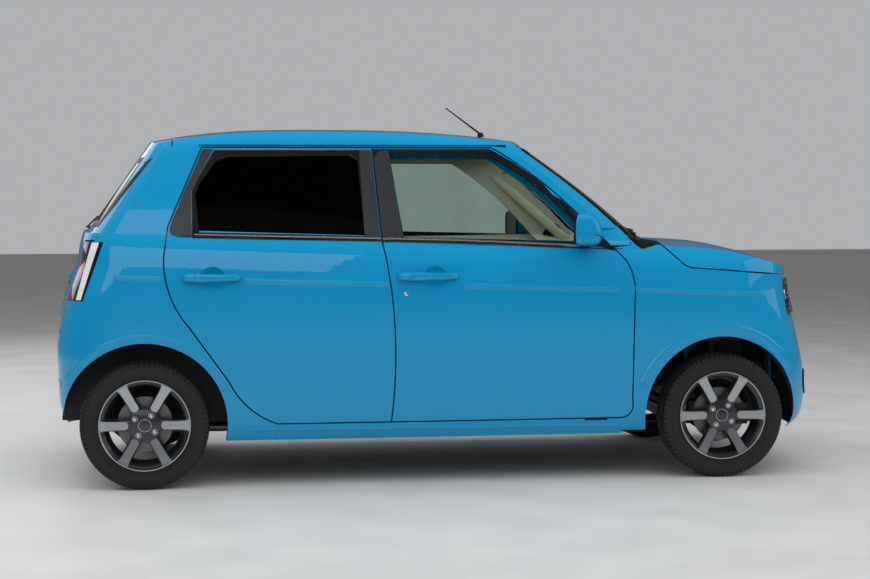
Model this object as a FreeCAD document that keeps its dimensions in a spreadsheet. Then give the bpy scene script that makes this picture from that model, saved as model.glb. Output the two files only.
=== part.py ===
import FreeCAD, Part, Sketcher
import math
import os
from FreeCAD import Vector

doc = FreeCAD.newDocument("KeiCar")

# Driving dimensions in millimetres and degrees: alias, value, meaning.
SIZES = [
    ("wheelbase", 2520, "front axle to rear axle"),
    ("front_overhang", 476.5, "front axle to the foremost point"),
    ("rear_overhang", 398.5, "rear axle to the rearmost point"),
    ("body_width", 1475, "widest point of the body, mirrors left out"),
    ("roof_height", 1545, "ground to the top of the roof"),
    ("track", 1305, "tyre centre to tyre centre"),
    ("tyre_diameter", 546, "twice the height of the loaded wheel centre"),
    ("tyre_width", 155, "section width of the tyre"),
    ("rim_diameter", 356, "bead seat"),
    ("rim_width", 114, "between the bead seats"),
    ("arch_radius", 350, "wheel opening about the axle"),
    ("shut_gap", 6, "gap round doors and lids"),
    ("skin", 4, "outer panel and bonded glass"),
    ("lid_depth", 38, "tailgate and roof, outside to inside"),
    ("seal_gap", 12, "inner face of a door to the aperture ring"),
    ("hinge_inset", 28, "door hinge axis behind the widest skin"),
    ("hinge_setback", 95, "door hinge axis behind the front shut line"),
    ("kingpin_top_y", 500, "strut top from the centre plane"),
    ("kingpin_top_z", 805, "strut top above ground"),
    ("ball_joint_y", 612, "lower ball joint from the centre plane"),
    ("ball_joint_z", 185, "lower ball joint above ground"),
    ("steering_wheel_diameter", 365, "rim centre line"),
    ("disc_diameter", 236, "brake disc"),
    ("spoke_depth", 26, "wheel spoke, face to back"),
    ("cup_diameter", 112, "dish behind a door handle"),
    ("cup_depth", 20, "dish behind a door handle"),
    ("arm_radius", 12, "front lower arm"),
    ("trailing_arm_radius", 25, "rear trailing arm"),
    ("beam_radius", 34, "rear torsion beam"),
    ("spring_radius", 50, "rear coil spring"),
    ("strut_rod_radius", 12, "front strut piston rod"),
    ("stub_radius", 15, "wheel stub axle"),
    ("seat_width", 464, "front seat cushion"),
    ("rear_bench_width", 1040, "rear seat"),
    ("tank_length", 320, "fuel tank"),
    ("tank_width", 530, "fuel tank"),
    ("silencer_radius", 72, "exhaust silencer"),
    ("pipe_radius", 22, "exhaust pipe"),
]
sheet = doc.addObject("Spreadsheet::Sheet", "Sizes")
for row, (alias, value, meaning) in enumerate(SIZES, 1):
    sheet.set(f"A{row}", alias)
    sheet.set(f"B{row}", str(value))
    sheet.setAlias(f"B{row}", alias)
    sheet.set(f"C{row}", meaning)
doc.recompute()


def size(alias):
    """One driving dimension, read from the sheet."""
    return float(sheet.get(alias))


SKIN = size("skin")
HALF_GAP = size("shut_gap") / 2
HALF_WIDTH = size("body_width") / 2
LENGTH = size("front_overhang") + size("wheelbase") + size("rear_overhang")
FRONT_AXLE = LENGTH / 2 - size("front_overhang")
REAR_AXLE = FRONT_AXLE - size("wheelbase")
WHEEL_RADIUS = size("tyre_diameter") / 2
HUB_Z = WHEEL_RADIUS
HUB_Y = size("track") / 2
FAR = 3000.0

# Styling stations: the outlines below are drawn on a body whose bumpers, axles and heights are these,
# and are stretched between them to the sizes in the sheet.
STATION_X = [(-1697.5, -LENGTH / 2), (-1299.0, REAR_AXLE), (1221.0, FRONT_AXLE), (1697.5, LENGTH / 2)]
DRAWN_WIDTH = 737.5
DRAWN_HEIGHT = 1545.0
DRAWN_GROUND = 190.0


def sx(x):
    """Drawn x to real x, straight between the bumpers and the axles."""
    low = STATION_X[0]
    for high in STATION_X[1:]:
        if x <= high[0] or high is STATION_X[-1]:
            return low[1] + (x - low[0]) * (high[1] - low[1]) / (high[0] - low[0])
        low = high


def sy(y):
    return y * HALF_WIDTH / DRAWN_WIDTH


def sz(z):
    """Drawn z to real z: what is below the sill stays, the rest stretches with the roof."""
    if z <= DRAWN_GROUND:
        return z
    stretch = (size("roof_height") - DRAWN_GROUND) / (DRAWN_HEIGHT - DRAWN_GROUND)
    return DRAWN_GROUND + (z - DRAWN_GROUND) * stretch


# ---------------------------------------------------------------- wires, prisms and blocks

def path_wire(points, place):
    """Closed wire. A point is (a, b); a pair of points is an arc through the first to the second."""
    edges = []
    first = place(*points[0])
    last = first
    for item in points[1:] + [points[0]]:
        if isinstance(item[0], tuple):
            middle = place(*item[0])
            end = place(*item[1])
            edges.append(Part.Arc(last, middle, end).toShape())
        else:
            end = place(*item)
            if end.distanceToPoint(last) < 0.01:
                continue
            edges.append(Part.LineSegment(last, end).toShape())
        last = end
    return Part.Wire(edges)


def side_prism(points, y_low=-FAR, y_high=FAR, grow=0.0):
    """Side-view outline in drawn (x, z), grown or shrunk, extruded across the car."""
    wire = path_wire(points, lambda x, z: Vector(sx(x), y_low, sz(z)))
    if grow:
        wire = wire.makeOffset2D(grow)
    return Part.Face(wire).extrude(Vector(0, y_high - y_low, 0))


def rear_prism(points, x_low, x_high, grow=0.0):
    """Outline in drawn (y, z) seen along the car, extruded from x_low to x_high in real x."""
    wire = path_wire(points, lambda y, z: Vector(x_low, sy(y), sz(z)))
    if grow:
        wire = wire.makeOffset2D(grow)
    return Part.Face(wire).extrude(Vector(x_high - x_low, 0, 0))


def block(x_low, x_high, y_low, y_high, z_low, z_high):
    return Part.makeBox(x_high - x_low, y_high - y_low, z_high - z_low, Vector(x_low, y_low, z_low))


def rod(start, end, radius):
    start = Vector(*start)
    axis = Vector(*end) - start
    return Part.makeCylinder(radius, axis.Length, start, axis)


def mirror(shape):
    """The same piece on the other side of the car."""
    return shape.mirror(Vector(0, 0, 0), Vector(0, 1, 0))


def both(shape):
    return [shape, mirror(shape)]


def join(shapes):
    """One fused shape with merged faces."""
    fused = shapes[0].fuse(shapes[1:]) if len(shapes) > 1 else shapes[0]
    return fused.removeSplitter()


def biggest(shape):
    return max(shape.Solids, key=lambda solid: solid.Volume)


# ---------------------------------------------------------------- the outer form of the body

# Plan sections of the body below the belt. Columns: height at the middle of the car, slope along the car,
# front end x, rear end x, side drawn in from the widest point, front bow radius, front corner radius,
# rear bow radius, rear corner radius.
LOWER_SECTIONS = [
    (200, 0.000, 1640, -1600, 46, 4000, 300, 4500, 250),
    (245, 0.000, 1678, -1650, 22, 4000, 290, 4500, 240),
    (315, -0.005, 1694, -1686, 12, 4000, 285, 4500, 235),
    (450, -0.010, 1693, -1697.5, 7, 4000, 285, 4500, 232),
    (580, -0.018, 1674, -1697, 4, 4000, 282, 4500, 230),
    (705, -0.026, 1645, -1674, 2, 4000, 278, 4500, 228),
    (830, -0.033, 1612, -1634, 2, 4000, 272, 4500, 222),
    (890, -0.033, 1600, -1611, 5, 4000, 268, 4500, 218),
    (950, -0.033, 1597, -1600, 11, 4000, 262, 4500, 212),
    (1000, -0.033, 1590, -1590, 24, 4000, 255, 4500, 206),
    (1035, -0.033, 1580, -1580, 42, 4000, 248, 4500, 200),
    (1070, -0.033, 1565, -1570, 72, 4000, 240, 4500, 190),
]
# The same columns for the windscreen and the rear face of the cabin.
SCREEN_SECTIONS = [
    (930, -0.033, 1110, -1630, 16, 1750, 170, 3500, 190),
    (1065, -0.030, 962, -1545, 44, 1800, 165, 3500, 180),
    (1200, -0.018, 790, -1463, 74, 1900, 160, 3500, 170),
    (1335, -0.008, 600, -1379, 107, 2000, 150, 3500, 160),
    (1470, 0.000, 396, -1292, 142, 2150, 140, 3500, 150),
    (1605, 0.000, 185, -1190, 180, 2300, 130, 3500, 140),
]
# Cross sections of cabin sides and roof. Columns: x, height of the roof centre line.
ROOF_STATIONS = [
    (-1650, 1385),
    (-1300, 1482),
    (-950, 1534),
    (-600, 1545),
    (-250, 1542),
    (100, 1523),
    (450, 1478),
    (800, 1395),
    (1150, 1270),
]
SIDE_PLAN_RADIUS = 60000.0
GUTTER_PLAN_RADIUS = 30000.0
PLAN_MIDDLE = -100.0
ROOF_CROWN_RADIUS = 6500.0
ROOF_CORNER_RADIUS = 85.0
BELT_Y, BELT_Z = 695.0, 1040.0
GUTTER_Y, GUTTER_Z = 591.0, 1460.0


def blend_centre(bow_centre, bow_radius, side_centre, side_radius, corner, forward):
    """Centre of the corner circle that touches both the bow and the side from inside."""
    reach_bow = bow_radius - corner
    reach_side = side_radius - corner
    across = side_centre - bow_centre
    distance = across.Length
    along = (reach_bow ** 2 - reach_side ** 2 + distance ** 2) / (2 * distance)
    off = math.sqrt(reach_bow ** 2 - along ** 2)
    unit = across / distance
    normal = Vector(-unit.y, unit.x, 0)
    options = [bow_centre + unit * along + normal * (off * sign) for sign in (1, -1)]
    return max(options, key=lambda point: point.x * forward)


def plan_section(row, inset):
    """Closed plan outline of eight arcs: front bow, corner, side, corner, rear bow and back."""
    height, slope, front, rear, side_in, front_bow, front_corner, rear_bow, rear_corner = row
    front = sx(front) - inset
    rear = sx(rear) + inset
    half = sy(DRAWN_WIDTH - side_in) - inset
    base = sz(height)
    side_centre = Vector(PLAN_MIDDLE, half - SIDE_PLAN_RADIUS, 0)

    def arc(centre, radius, start, end, flip):
        points = []
        for angle in (start, (start + end) / 2, end):
            x = centre.x + radius * math.cos(angle)
            y = (centre.y + radius * math.sin(angle)) * flip
            points.append(Vector(x, y, base + slope * x))
        return Part.Arc(*points).toShape()

    def heading(centre, point):
        return math.atan2(point.y - centre.y, point.x - centre.x)

    front_centre = Vector(front - front_bow, 0, 0)
    rear_centre = Vector(rear + rear_bow, 0, 0)
    front_blend = blend_centre(front_centre, front_bow, side_centre, SIDE_PLAN_RADIUS, front_corner, 1)
    rear_blend = blend_centre(rear_centre, rear_bow, side_centre, SIDE_PLAN_RADIUS, rear_corner, -1)
    front_angle = heading(front_centre, front_blend)
    rear_angle = heading(rear_centre, rear_blend)
    side_front = heading(side_centre, front_blend)
    side_rear = heading(side_centre, rear_blend)
    return Part.Wire([
        arc(front_centre, front_bow, -front_angle, front_angle, 1),
        arc(front_blend, front_corner, front_angle, side_front, 1),
        arc(side_centre, SIDE_PLAN_RADIUS, side_front, side_rear, 1),
        arc(rear_blend, rear_corner, side_rear, rear_angle, 1),
        arc(rear_centre, rear_bow, rear_angle, 2 * math.pi - rear_angle, 1),
        arc(rear_blend, rear_corner, rear_angle, side_rear, -1),
        arc(side_centre, SIDE_PLAN_RADIUS, side_rear, side_front, -1),
        arc(front_blend, front_corner, side_front, front_angle, -1),
    ])


def roof_section(x, roof_z, inset):
    """Cross section at x: floor line, leaning sides, corner arcs and the crowned roof."""
    x_real = sx(x)
    off_middle = (x_real - PLAN_MIDDLE) ** 2 / 2
    belt_y = sy(BELT_Y) - off_middle / SIDE_PLAN_RADIUS - inset
    gutter_y = sy(GUTTER_Y) - off_middle / GUTTER_PLAN_RADIUS - inset
    belt_z, gutter_z = sz(BELT_Z), sz(GUTTER_Z)
    top = sz(roof_z) - inset
    lean = (belt_y - gutter_y) / (gutter_z - belt_z)
    length = math.hypot(lean, 1)
    inward = Vector(0, -1 / length, -lean / length)
    upward = Vector(0, -lean / length, 1 / length)
    base_z = belt_z - 200
    base = Vector(x_real, belt_y + lean * 200, base_z)
    crown_centre = Vector(x_real, 0, top - ROOF_CROWN_RADIUS)
    start = base + inward * ROOF_CORNER_RADIUS - crown_centre
    reach = ROOF_CROWN_RADIUS - ROOF_CORNER_RADIUS
    along = start.dot(upward)
    climb = -along + math.sqrt(along ** 2 - start.dot(start) + reach ** 2)
    side_end = base + upward * climb
    corner = side_end + inward * ROOF_CORNER_RADIUS
    crown_way = (corner - crown_centre).normalize()
    crown_end = crown_centre + crown_way * ROOF_CROWN_RADIUS
    middle_way = (crown_way - inward).normalize()
    corner_middle = corner + middle_way * ROOF_CORNER_RADIUS

    def flip(point):
        return Vector(point.x, -point.y, point.z)

    return Part.Wire([
        Part.LineSegment(flip(base), base).toShape(),
        Part.LineSegment(base, side_end).toShape(),
        Part.Arc(side_end, corner_middle, crown_end).toShape(),
        Part.Arc(crown_end, Vector(x_real, 0, top), flip(crown_end)).toShape(),
        Part.Arc(flip(crown_end), flip(corner_middle), flip(side_end)).toShape(),
        Part.LineSegment(flip(side_end), flip(base)).toShape(),
    ])


# Top of the body below the cabin, in side view: the belt, then the bonnet with its crown.
BELT_SLOPE = -0.033
BELT_MIDDLE = 1038.0
BONNET_CROWN = 42.0


def belt_z_at(x):
    return BELT_MIDDLE + BELT_SLOPE * x


def bonnet_section(y, drop, inset):
    """Side-view outline of everything below belt and bonnet, lowered by drop at this y."""
    def place(x, z):
        return Vector(sx(x), y, sz(z))
    low = -50.0
    points = [
        (-1900, low),
        (-1900, belt_z_at(-1900)),
        (880, belt_z_at(880)),
        (935, 1042 - drop * 0.55 - inset),
        (1040, 1046 - drop - inset),
        ((1325, 1014 - drop - inset), (1590, 922 - drop * 1.05 - inset)),
        (1800, 838 - drop * 1.1 - inset),
        (1800, low),
    ]
    return path_wire(points, place)


def lower_body(inset):
    wires = [plan_section(row, inset) for row in LOWER_SECTIONS]
    block_out = Part.makeLoft(wires, True, False)
    half = HALF_WIDTH + 40
    tops = [bonnet_section(-half, BONNET_CROWN, inset),
            bonnet_section(0, 0, inset),
            bonnet_section(half, BONNET_CROWN, inset)]
    return block_out.common(Part.makeLoft(tops, True, False))


def upper_body(inset):
    screens = Part.makeLoft([plan_section(row, inset) for row in SCREEN_SECTIONS], True, False)
    roof = Part.makeLoft([roof_section(x, z, inset) for x, z in ROOF_STATIONS], True, False)
    cabin = roof.common(screens)
    above = side_prism([(-1900, belt_z_at(-1900)), (1300, belt_z_at(1300)), (1300, 1800), (-1900, 1800)])
    return cabin.common(above)


def body_form(inset):
    return lower_body(inset).fuse(upper_body(inset))


OUTER = body_form(0)
SKIN_INSIDE = body_form(SKIN)
LID_INSIDE = body_form(size("lid_depth"))
RIGHT = block(-FAR, FAR, -FAR, 0, -FAR, FAR)
OUTER_RIGHT = OUTER.common(RIGHT)
SHELL = OUTER.cut(SKIN_INSIDE)
SHELL_RIGHT = SHELL.common(RIGHT)

# ---------------------------------------------------------------- side-view outlines, drawn (x, z)

DOOR_BOTTOM = 272.0
FRONT_DOOR = [
    (752, DOOR_BOTTOM),
    ((796, 286), (812, 345)),
    (819, 788),
    ((815, 880), (787, 955)),
    (682, 1071), (547, 1193),
    ((390, 1330), (206, 1453)),
    (-318, 1453), (-284, 1042),
    ((-236, 700), (-251, DOOR_BOTTOM)),
]
REAR_DOOR = [
    (-251, DOOR_BOTTOM),
    ((-236, 700), (-284, 1042)),
    (-318, 1453), (-1050, 1453), (-1195, 1117), (-1213, 985),
    ((-1193, 838), (-1110, 690)),
    (-942, 454),
    ((-850, 335), (-738, DOOR_BOTTOM)),
]
FRONT_WINDOW = [(-190, 1066), (-243, 1418), (205, 1412), ((375, 1304), (520, 1180)), (600, 1108),
                (600, 1046)]
REAR_WINDOW = [(-360, 1074), (-383, 1418), (-978, 1410), (-1082, 1268), (-1064, 1096)]
FRONT_APERTURE = [
    (640, 335), (690, 400), (690, 900), (640, 1010), (520, 1140),
    ((360, 1285), (190, 1400)),
    (-255, 1400), (-205, 1040), (-172, 700), (-175, 335),
]
REAR_APERTURE = [
    (-375, 335), (-375, 700), (-385, 1040), (-400, 1400), (-970, 1398), (-1095, 1130), (-1130, 985),
    ((-1115, 850), (-1040, 730)),
    (-880, 500),
    ((-800, 390), (-700, 335)),
]
BODY_SIDE = [
    (880, 190), (880, 1000), (838, 1030), (683, 1187), (521, 1322), (342, 1462),
    (-1720, 1462), (-1720, 190),
]
# Doors, aperture ring and cabin walls in cross section: inner faces as drawn (y, z) lines.
RING_Y = [(647, 100), (650, 1035), (549, 1460), (520, 1580)]
CABIN_Y = [(545, 100), (560, 1000), (612, 1045), (512, 1440), (480, 1580)]


def inner_space(line, move=0.0):
    """Everything between the two walls whose inner faces follow this (y, z) line, moved inward."""
    outline = [(y - move, z) for y, z in line] + [(-y + move, z) for y, z in reversed(line)]
    return rear_prism(outline, -FAR, FAR)


DOOR_SPACE = inner_space(RING_Y)
RING_SPACE = inner_space(RING_Y, size("seal_gap"))
CABIN_SPACE = inner_space(CABIN_Y)


def hinge_axis(shut_x):
    """Place of a right-hand door hinge, set back from the foremost point of its shut line."""
    x = sx(shut_x) - HALF_GAP - size("hinge_setback")
    bow = (x - PLAN_MIDDLE) ** 2 / (2 * SIDE_PLAN_RADIUS)
    return x, -(sy(DRAWN_WIDTH - 2) - bow - size("hinge_inset"))


FRONT_HINGE = hinge_axis(819)
REAR_HINGE = hinge_axis(-233)
SWEEP = math.hypot(size("hinge_setback"), size("hinge_inset")) + 6


def hinge_sweep(hinge):
    """Room that the leading edge of a door needs as it swings inward."""
    low = sz(DOOR_BOTTOM) - HALF_GAP
    return Part.makeCylinder(SWEEP, sz(1100) - low, Vector(hinge[0], hinge[1], low))


HANDLE_HEIGHT = 899.0
FRONT_CUP_X, REAR_CUP_X = -60.0, -1010.0
HINGE_PIN = 6.0
HINGE_SLEEVE = 12.0
HINGE_PLAY = 0.1
HINGE_HEIGHTS = (420, 860)
HINGE_HALF = 30.0
BOX_LEAD = 20.0


def hinge_fixed(hinge):
    """Pins and arms of one door's two hinges, on the pillar inboard of them."""
    pieces = []
    for height in HINGE_HEIGHTS:
        z = sz(height)
        pieces.append(rod((hinge[0], hinge[1], z - HINGE_HALF), (hinge[0], hinge[1], z + HINGE_HALF),
                          HINGE_PIN))
        for low in (z - HINGE_HALF, z + HINGE_HALF - 12):
            pieces.append(Part.makeCylinder(10, 12, Vector(hinge[0], hinge[1], low)))
            pieces.append(block(hinge[0] - 10, hinge[0] + 10, hinge[1], hinge[1] + SWEEP + 12, low,
                                low + 12))
    return pieces


def hinge_swinging(hinge):
    """Sleeves round the pins, with plates to the door's inner box."""
    pieces = []
    half = HINGE_HALF - 12.3
    for height in HINGE_HEIGHTS:
        low = sz(height) - half
        sleeve = Part.makeCylinder(HINGE_SLEEVE, 2 * half, Vector(hinge[0], hinge[1], low))
        plate = block(hinge[0] - BOX_LEAD - 2, hinge[0], hinge[1] - 6, hinge[1] + 6, low, low + 2 * half)
        bore = Part.makeCylinder(HINGE_PIN + HINGE_PLAY, 2 * half, Vector(hinge[0], hinge[1], low))
        pieces.append(sleeve.fuse(plate).cut(bore))
    return pieces


def handle_cup(x):
    """Round dish in a right-hand door's skin behind its pull handle."""
    ball = (size("cup_diameter") ** 2 / 4 + size("cup_depth") ** 2) / (2 * size("cup_depth"))
    bow = (x - PLAN_MIDDLE) ** 2 / (2 * SIDE_PLAN_RADIUS)
    face = sy(DRAWN_WIDTH - 3) - bow
    return Part.makeSphere(ball, Vector(x, -face - ball + size("cup_depth"), sz(HANDLE_HEIGHT - 4)))


def door(outline, window, hinge, other_sweep, cup_x):
    """Hollow-edged door: skin to the shut line, inner box set back from it, window and handle cup cut."""
    skin = SHELL_RIGHT.common(side_prism(outline, grow=-HALF_GAP))
    box_inside = SKIN_INSIDE.common(side_prism(outline, -FAR, 0, grow=-HALF_GAP - 11)).cut(DOOR_SPACE)
    cuts = [block(hinge[0] - BOX_LEAD, hinge[0] + 400, -FAR, FAR, 0, sz(1010))]
    cuts += [block(hinge[0] + 4, hinge[0] + 400, -FAR, FAR, 0, sz(1200))]
    if other_sweep:
        cuts.append(other_sweep)
    openings = [side_prism(window, -FAR, 0), handle_cup(sx(cup_x))]
    whole = skin.fuse([box_inside.cut(cuts)] + hinge_swinging(hinge)).cut(openings)
    return biggest(whole.removeSplitter())


def window_glass(window):
    """Pane flush with the outer skin, with a hair of room to its frame."""
    return biggest(SHELL_RIGHT.common(side_prism(window, -FAR, 0, grow=-0.3)))


# ---------------------------------------------------------------- tailgate, roof and rear end

TAILGATE = [
    (-552, 1600), (-556, 1462), (-636, 1078), (-630, 1058), (-562, 1058), (-562, 804), (-540, 804),
    (-540, 668), (540, 668), (540, 804), (562, 804), (562, 1058), (630, 1058), (636, 1078), (556, 1462),
    (552, 1600),
]
TAILGATE_GLASS = [(-498, 1412), (-572, 1112), (572, 1112), (498, 1412)]
BUMPER_STEP_Y = 546.0
REAR_BUMPER_SIDE = [
    (-1800, 283), (-1800, 796), (-1551, 796), (-1458, 614), (-1440, 570), (-1440, 283),
]
TAIL_LAMP = [(-1800, 800), (-1554, 800), (-1464, 1051), (-1800, 1051)]
LAMP_INNER_Y = 568.5
GUTTER_CUT = 1462.0
WINDSCREEN = [(-642, 1046), (-640, 1060), (-556, 1440), (-544, 1452), (544, 1452), (556, 1440),
              (640, 1060), (642, 1046)]

LID = OUTER.cut(LID_INSIDE)
TAILGATE_SIDE = [
    (-1178, 1600), (-1178, 1440), (-1400, 1080), (-1440, 1030), (-1540, 660), (-1900, 660), (-1900, 1600),
]
TAILGATE_ZONE = rear_prism(TAILGATE, -FAR, 0).common(side_prism(TAILGATE_SIDE, grow=-1))
TAILGATE_HOLE = rear_prism(TAILGATE, -FAR, 0, grow=2 * HALF_GAP).common(
    side_prism(TAILGATE_SIDE, grow=2 * HALF_GAP))
BUMPER_ZONE = side_prism(REAR_BUMPER_SIDE, -FAR, FAR).cut(
    block(-FAR, 0, -sy(BUMPER_STEP_Y), sy(BUMPER_STEP_Y), sz(662), FAR))
REAR_ARCH = Part.makeCylinder(size("arch_radius"), 2000, Vector(REAR_AXLE, -2552, HUB_Z), Vector(0, 1, 0))
FRONT_ARCH = Part.makeCylinder(size("arch_radius"), 2500, Vector(FRONT_AXLE, -2540, HUB_Z), Vector(0, 1, 0))


LINER = 4.0
WHEELHOUSE_Y = 545.0


def wheel_liner(axle_x, inner_y, zone):
    """Arched liner over a right-hand wheel, from the skin to inner_y, within a zone."""
    arch = size("arch_radius")
    start = Vector(axle_x, -HALF_WIDTH, HUB_Z)
    depth = HALF_WIDTH - inner_y
    ring = Part.makeCylinder(arch + LINER, depth, start, Vector(0, 1, 0))
    return ring.cut(Part.makeCylinder(arch, depth, start, Vector(0, 1, 0))).common(OUTER).common(zone)


def wheelhouse_wall(zone):
    """Wall inboard of the right rear wheel, with room for the stub axle."""
    start = Vector(REAR_AXLE, -WHEELHOUSE_Y - LINER, HUB_Z)
    disc = Part.makeCylinder(size("arch_radius") + LINER, LINER, start, Vector(0, 1, 0))
    room = Part.makeCylinder(70, LINER, start, Vector(0, 1, 0))
    above = block(-FAR, FAR, -FAR, FAR, sz(283), FAR)
    return disc.cut(room).common(above).common(zone)


def tail_lamp():
    zone = side_prism(TAIL_LAMP, -FAR, -sy(LAMP_INNER_Y), grow=-0.5)
    return biggest(OUTER_RIGHT.cut(LID_INSIDE).common(zone))


def windscreen(grow=0.0):
    return SHELL.common(rear_prism(WINDSCREEN, 0, 1400, grow=grow))


WINDSCREEN_SEAT = windscreen(0.6)


def body_side():
    """Right body side with pillars, roof rail, sill and quarter panel."""
    wall = OUTER_RIGHT.cut(CABIN_SPACE).common(side_prism(BODY_SIDE, -FAR, 0))
    cuts = []
    for outline in (FRONT_DOOR, REAR_DOOR):
        cuts.append(side_prism(outline, -FAR, 0, grow=HALF_GAP).cut(RING_SPACE))
    fender_side = side_prism([(600, 262), (600, 1013), (700, 1013), (838, 1028), (900, 1028), (900, 100),
                              (770, 100), (770, 262)], -FAR, 0)
    cuts += [fender_side.cut(RING_SPACE)]
    cuts += [side_prism(FRONT_APERTURE, -FAR, 0), side_prism(REAR_APERTURE, -FAR, 0)]
    cuts += [REAR_ARCH, FRONT_ARCH, hinge_sweep(FRONT_HINGE), hinge_sweep(REAR_HINGE)]
    arch = size("arch_radius")
    cuts += [block(REAR_AXLE - arch, REAR_AXLE + arch, -600, -500, 0, 480)]
    cuts += [TAILGATE_HOLE, side_prism(TAIL_LAMP, -FAR, -sy(LAMP_INNER_Y) + 1)]
    cuts += [side_prism(REAR_BUMPER_SIDE, -FAR, 0), WINDSCREEN_SEAT]
    solid = biggest(wall.cut(cuts))
    zone = block(sx(-1440) + 1, REAR_AXLE + arch, -FAR, FAR, 0, 480.3)
    extras = hinge_fixed(FRONT_HINGE) + hinge_fixed(REAR_HINGE) + [wheelhouse_wall(zone)]
    return solid.fuse(extras).removeSplitter()


def roof_panel():
    """Roof skin with headers; two pockets at its rear edge hold the tailgate hinge pins."""
    zone = block(sx(-1600), sx(520), -FAR, FAR, sz(GUTTER_CUT), FAR)
    roof = LID.common(zone).cut([TAILGATE_HOLE, WINDSCREEN_SEAT])
    x, z = TAILGATE_HINGE.x, TAILGATE_HINGE.z
    pockets = []
    pins = []
    for side in (-1, 1):
        pocket = mirrored_span(side, TAILGATE_HINGE_Y - 14, TAILGATE_HINGE_Y + 14)
        pockets.append(block(x - 18, x + 22, *pocket, z - 60, z + 15))
        pockets.append(block(x - 80, x + 1, *pocket, z - 60, z))
        start, end = mirrored_span(side, TAILGATE_HINGE_Y - 18, TAILGATE_HINGE_Y + 18)
        pins.append(rod((x, start, z), (x, end, z), 6))
    return biggest(biggest(roof).cut(pockets).fuse(pins).removeSplitter())


def tailgate():
    inner = LID.common(TAILGATE_ZONE).common(rear_prism(TAILGATE, -FAR, 0, grow=-size("seal_gap")))
    gate = SHELL.common(TAILGATE_ZONE).fuse(inner).cut(rear_prism(TAILGATE_GLASS, -FAR, -800))
    arms = []
    x, z = TAILGATE_HINGE.x, TAILGATE_HINGE.z
    for side in (-1, 1):
        start, end = mirrored_span(side, TAILGATE_HINGE_Y - 8, TAILGATE_HINGE_Y + 8)
        ring = rod((x, start, z), (x, end, z), GOOSENECK[1])
        ring = ring.cut(rod((x, start, z), (x, end, z), GOOSENECK[0]))
        sector = block(x - 200, x + 16, start, end, z - 200, z - 4)
        spoke = block(x + 4, x + 16, start, end, z - GOOSENECK[1] + 2, z)
        eye = rod((x, start, z), (x, end, z), 13)
        bore = rod((x, start, z), (x, end, z), 6 + PIN_PLAY)
        arms.append(ring.common(sector).fuse([spoke, eye]).cut(bore))
    return biggest(biggest(gate).fuse(arms).removeSplitter())


def tailgate_glass():
    return biggest(SHELL.common(rear_prism(TAILGATE_GLASS, -FAR, -800, grow=-0.3)))


def rear_bumper():
    skin = SHELL.common(BUMPER_ZONE)
    beam = OUTER.common(block(-FAR, sx(-1600), -560, 560, 430, 540))
    zone = side_prism(REAR_BUMPER_SIDE, -FAR, FAR, grow=-0.3)
    liners = both(wheel_liner(REAR_AXLE, WHEELHOUSE_Y, zone)) + both(wheelhouse_wall(zone))
    return biggest(skin.fuse(beam).cut([REAR_ARCH, mirror(REAR_ARCH)]).fuse(liners).removeSplitter())


# ---------------------------------------------------------------- front end

BONNET_EDGE = [(958, 1020), (1023, 959), ((1050, 937), (1091, 925)), (1216, 916), (1383, 902), (1531, 891)]
COWL_RADIUS = 3060.0
COWL_FRONT = 1030.0
COWL_GAP = 10.0
BONNET_DEPTH = 16.0
LAMP_TOP, LAMP_BOTTOM = 884.0, 703.0
BUMPER_SEAM = [(1543, 703), (1431, 575)]
HEADLAMP_SPLIT = 335.0
BONNET_INSIDE = lower_body(BONNET_DEPTH)
INNER_ROOM = lower_body(SKIN + 1)


BONNET_HINGE = Vector(sx(930), 0, sz(1000))
TAILGATE_HINGE = Vector(sx(-1108), 0, sz(1484))
TAILGATE_HINGE_Y = 220.0
GOOSENECK = (76.0, 88.0)


def cowl_disc(radius):
    centre = Vector(sx(COWL_FRONT) - COWL_RADIUS, 0, 0)
    return Part.makeCylinder(radius, 2000, centre)


BONNET_OUTLINE = [(945, 1200), (945, 1031)] + BONNET_EDGE + [(1800, 886), (1800, 1200)]


def bonnet():
    zone = side_prism(BONNET_OUTLINE, grow=-HALF_GAP).common(block(sx(950), FAR, -FAR, FAR, 0, FAR))
    skin = OUTER.common(zone.cut(cowl_disc(COWL_RADIUS))).cut(BONNET_INSIDE)
    lugs = []
    for side in (-1, 1):
        start, end = mirrored_span(side, 608.3, 622)
        axis_x, axis_z = BONNET_HINGE.x, BONNET_HINGE.z
        eye = rod((axis_x, start, axis_z), (axis_x, end, axis_z), 12)
        arm = block(axis_x, axis_x + 110, start, end, axis_z - 10, axis_z + 10)
        arm = arm.fuse(block(axis_x + 60, axis_x + 110, start, end, axis_z - 10, axis_z + 25)).common(OUTER)
        bore = rod((axis_x, start, axis_z), (axis_x, end, axis_z), 6 + PIN_PLAY)
        lugs.append(eye.fuse(arm).cut(bore))
    return biggest(skin.fuse(lugs).removeSplitter())


LAMP_EDGE = [(1531, 886), (1528, 843), (1543, 703)]
FENDER_INNER_Y = 643.0
FENDER = [(700, 215), (700, 1013), (838, 1028), (824, 1046), (958, 1046)]
FENDER += BONNET_EDGE + LAMP_EDGE + BUMPER_SEAM[1:] + [(1431, 215)]
FRONT_LINER_Y = 605.0
SILL_END = [(600, 100), (600, 262), (770, 262), (770, 100)]


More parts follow.
